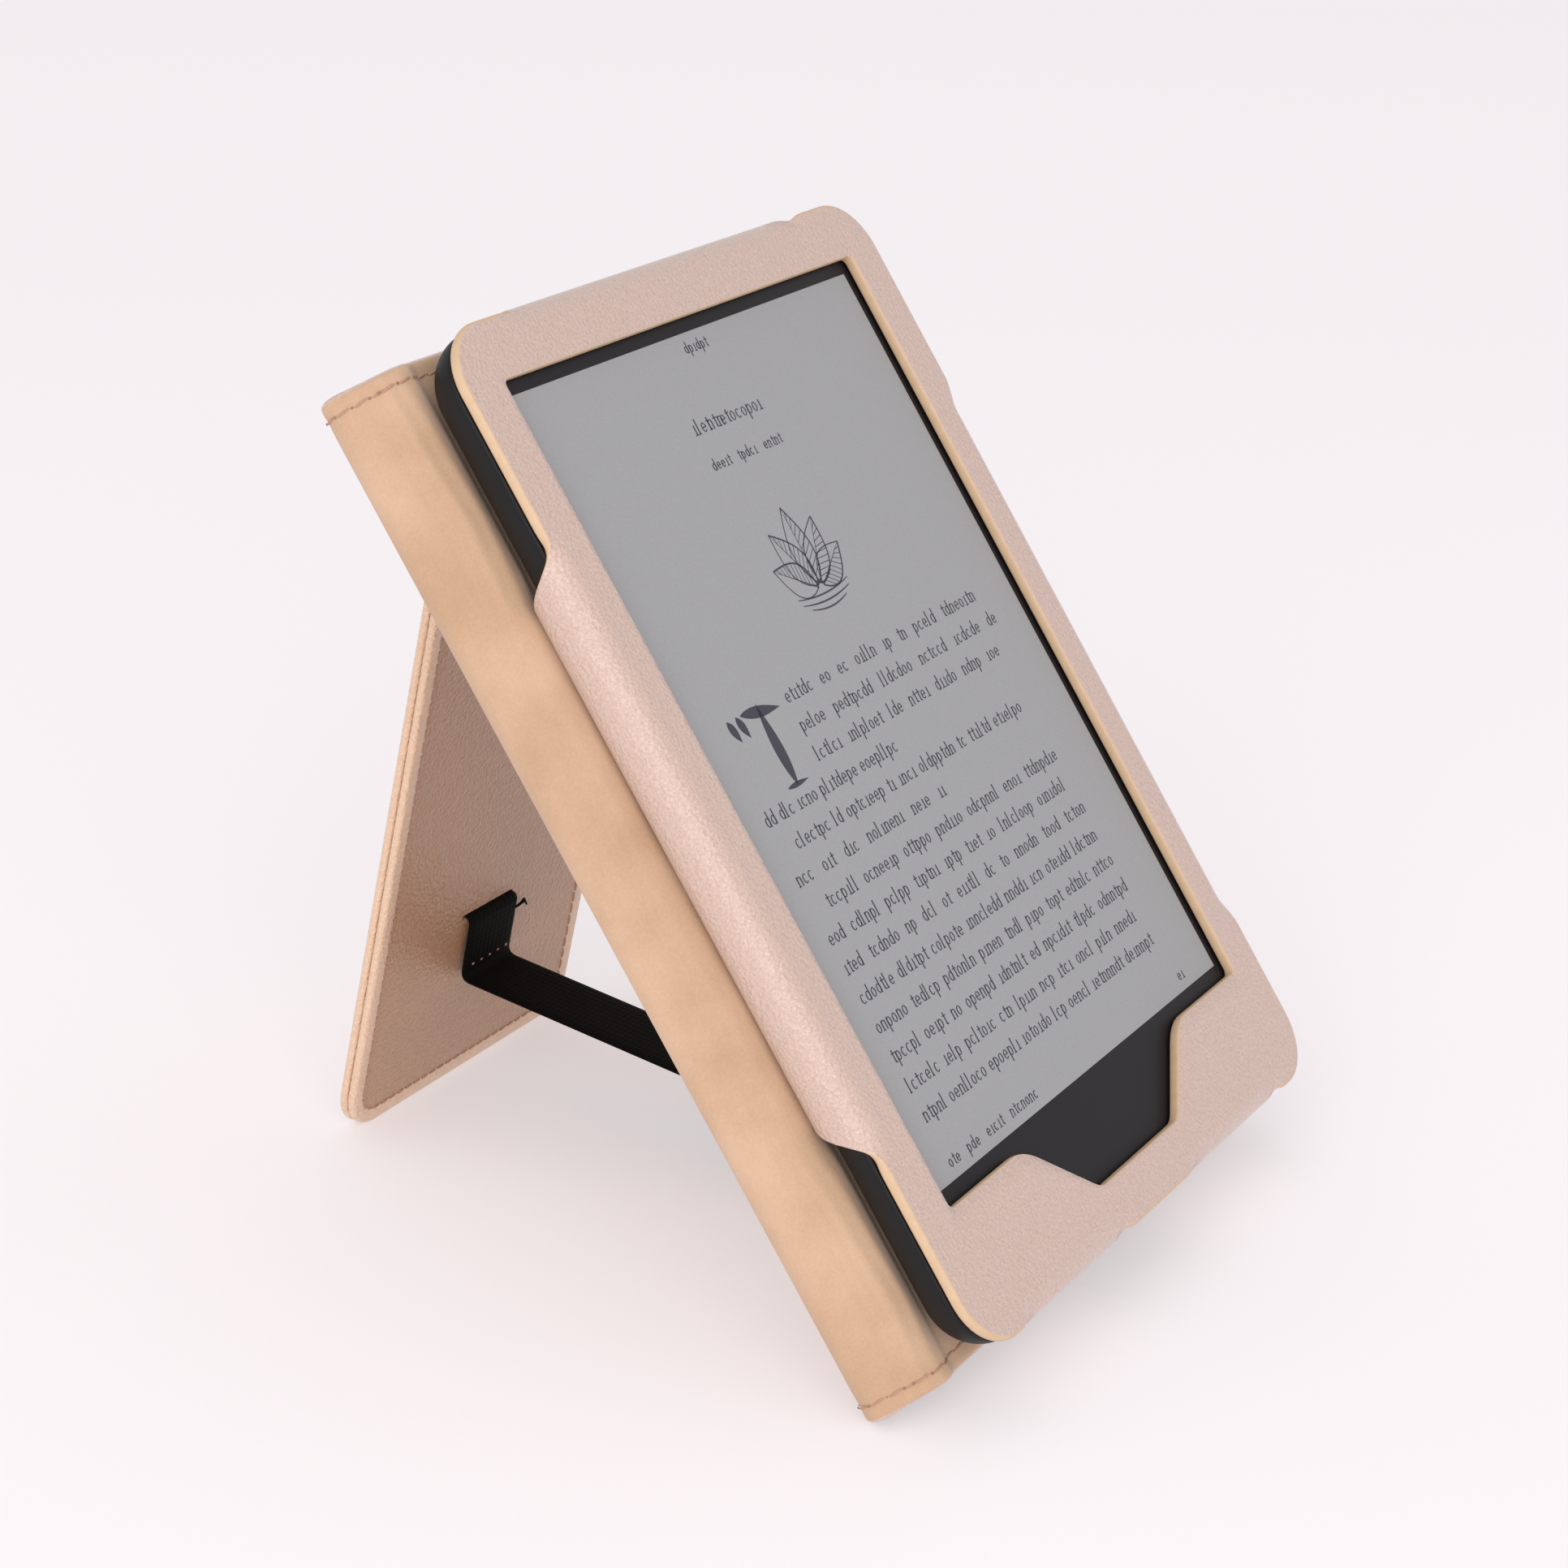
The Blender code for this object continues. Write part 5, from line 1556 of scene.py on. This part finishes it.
def stage():
    """A pale floor that glows a little, painted fill light that lifts its shadows and lights the case from below,
    soft lights on the spine's side, and the camera low on that side too.
    """
    scene = bpy.context.scene
    scene.view_settings.view_transform = "Standard"
    points, faces = blocks([(-4.0, -4.0, -0.02)], [(4.0, 4.0, 0.0)])
    mesh = bpy.data.meshes.new("floor")
    mesh.from_pydata(points.tolist(), [], faces.tolist())
    floor = bpy.data.objects.new("floor", mesh)
    scene.collection.objects.link(floor)
    material, tree, shader = new_finish("floor_glow_painted_fill", "CDC9CB", roughness=0.9)
    shader.inputs["Specular IOR Level"].default_value = 0.1
    # The floor's glow is painted fill light: it lifts the shadows on the floor and brightens the case's
    # undersides.
    shader.inputs["Emission Color"].default_value = linear("FDFAFD")
    shader.inputs["Emission Strength"].default_value = 0.4
    place = add(tree, "ShaderNodeTexCoord")
    tooth = add(tree, "ShaderNodeTexNoise", {"Vector": (place, 3), "Scale": per_metre(1.2), "Detail": 3.0})
    raise_grain(tree, shader, (tooth, 0), 0.05, 0.25)
    mesh.materials.append(material)
    world = bpy.data.worlds.new("soft_room")
    world.use_nodes = True
    world.node_tree.nodes["Background"].inputs[0].default_value = linear("FFFCFD")
    world.node_tree.nodes["Background"].inputs[1].default_value = 0.75
    scene.world = world
    target = READER.origin
    # A long panel from the spine's side round to the front, which lights the flap's bend, and a fill.
    lights = [
        ("key_softbox", (-1.45, -0.75, 0.8), 2.0, 17.0, "FFFBF8"),
        ("low_fill", (-1.3, -0.4, 0.35), 0.7, 1.6, "FFFFFF"),
    ]
    for name, offset, size, power, colour in lights:
        data = bpy.data.lights.new(name, "AREA")
        data.shape = "RECTANGLE"
        data.size = size
        data.size_y = size * 0.7
        data.energy = power
        data.color = linear(colour)[:3]
        light = bpy.data.objects.new(name, data)
        light.location = target + np.array(offset)
        scene.collection.objects.link(light)
        aim(light, target)
    lens = bpy.data.cameras.new("camera")
    lens.lens = 81.94
    lens.sensor_width = 36.0
    camera = bpy.data.objects.new("camera", lens)
    right = np.array((0.5064, -0.8619, 0.0250))
    up = np.array((0.2968, 0.2015, 0.9334))
    back = np.cross(right, up)
    place = READER.origin + np.array((-0.4876, -0.2611, 0.1971))
    turned = np.eye(4)
    turned[:3, :3] = np.stack([right, up, back], 1)
    turned[:3, 3] = place
    camera.matrix_world = Matrix(turned.tolist())
    scene.collection.objects.link(camera)
    scene.camera = camera


# One operator for each group of pieces.


class EREADER_OT_stage(bpy.types.Operator):
    """Set up the floor, the lights and the camera"""

    bl_idname = "ereader.stage"
    bl_label = "Stage"

    def execute(self, context):
        stage()
        return {"FINISHED"}


class EREADER_OT_front_leather(bpy.types.Operator):
    """Make the front frame's leather with its flap and wraps"""

    bl_idname = "ereader.front_leather"
    bl_label = "Front leather"

    def execute(self, context):
        front_leather()
        return {"FINISHED"}


class EREADER_OT_back_shell(bpy.types.Operator):
    """Make the reader's moulded back shell"""

    bl_idname = "ereader.back_shell"
    bl_label = "Back shell"

    def execute(self, context):
        back_shell()
        return {"FINISHED"}


class EREADER_OT_page(bpy.types.Operator):
    """Make the page's paper, filler marks and ornament"""

    bl_idname = "ereader.page"
    bl_label = "Page"

    def execute(self, context):
        page()
        return {"FINISHED"}


class EREADER_OT_bound_panels(bpy.types.Operator):
    """Make the case's back, spine and cover with their stitching"""

    bl_idname = "ereader.bound_panels"
    bl_label = "Back, spine and cover"

    def execute(self, context):
        bound_panels()
        return {"FINISHED"}


class EREADER_OT_kickstand(bpy.types.Operator):
    """Make the kickstand's two layers with their stitching and hinge"""

    bl_idname = "ereader.kickstand"
    bl_label = "Kickstand"

    def execute(self, context):
        kickstand()
        stand_hinge()
        return {"FINISHED"}


class EREADER_OT_stop_strap(bpy.types.Operator):
    """Make the elastic strap that stops the kickstand"""

    bl_idname = "ereader.stop_strap"
    bl_label = "Stop strap"

    def execute(self, context):
        stop_strap()
        return {"FINISHED"}


class EREADER_OT_carried_over(bpy.types.Operator):
    """Give the parts inside the reader and the boards their finishes"""

    bl_idname = "ereader.carried_over"
    bl_label = "Inner parts' finishes"

    def execute(self, context):
        carried_over()
        return {"FINISHED"}


OPERATORS = (
    EREADER_OT_stage,
    EREADER_OT_front_leather,
    EREADER_OT_back_shell,
    EREADER_OT_page,
    EREADER_OT_bound_panels,
    EREADER_OT_kickstand,
    EREADER_OT_stop_strap,
    EREADER_OT_carried_over,
)


class EREADER_PT_panel(bpy.types.Panel):
    """The pieces of the e-reader and its case"""

    bl_label = "E-reader"
    bl_idname = "EREADER_PT_panel"
    bl_space_type = "VIEW_3D"
    bl_region_type = "UI"
    bl_category = "E-reader"

    def draw(self, context):
        column = self.layout.column()
        for operator in OPERATORS:
            column.operator(operator.bl_idname)
        for settings in (context.scene.case_sizes, context.scene.case_colours):
            for name in settings.bl_rna.properties.keys():
                if name not in ("rna_type", "name"):
                    column.prop(settings, name)


CLASSES = (CaseColours, CaseSizes) + OPERATORS + (EREADER_PT_panel,)


def register():
    """Register the classes and hang the settings on the scene."""
    for item in CLASSES:
        bpy.utils.register_class(item)
    bpy.types.Scene.case_colours = bpy.props.PointerProperty(type=CaseColours)
    bpy.types.Scene.case_sizes = bpy.props.PointerProperty(type=CaseSizes)


def unregister():
    """Take the settings and the classes away again."""
    del bpy.types.Scene.case_sizes
    del bpy.types.Scene.case_colours
    for item in reversed(CLASSES):
        bpy.utils.unregister_class(item)


def main():
    register()
    for operator in OPERATORS:
        group, name = operator.bl_idname.split(".")
        getattr(getattr(bpy.ops, group), name)()


if __name__ == "__main__":
    main()
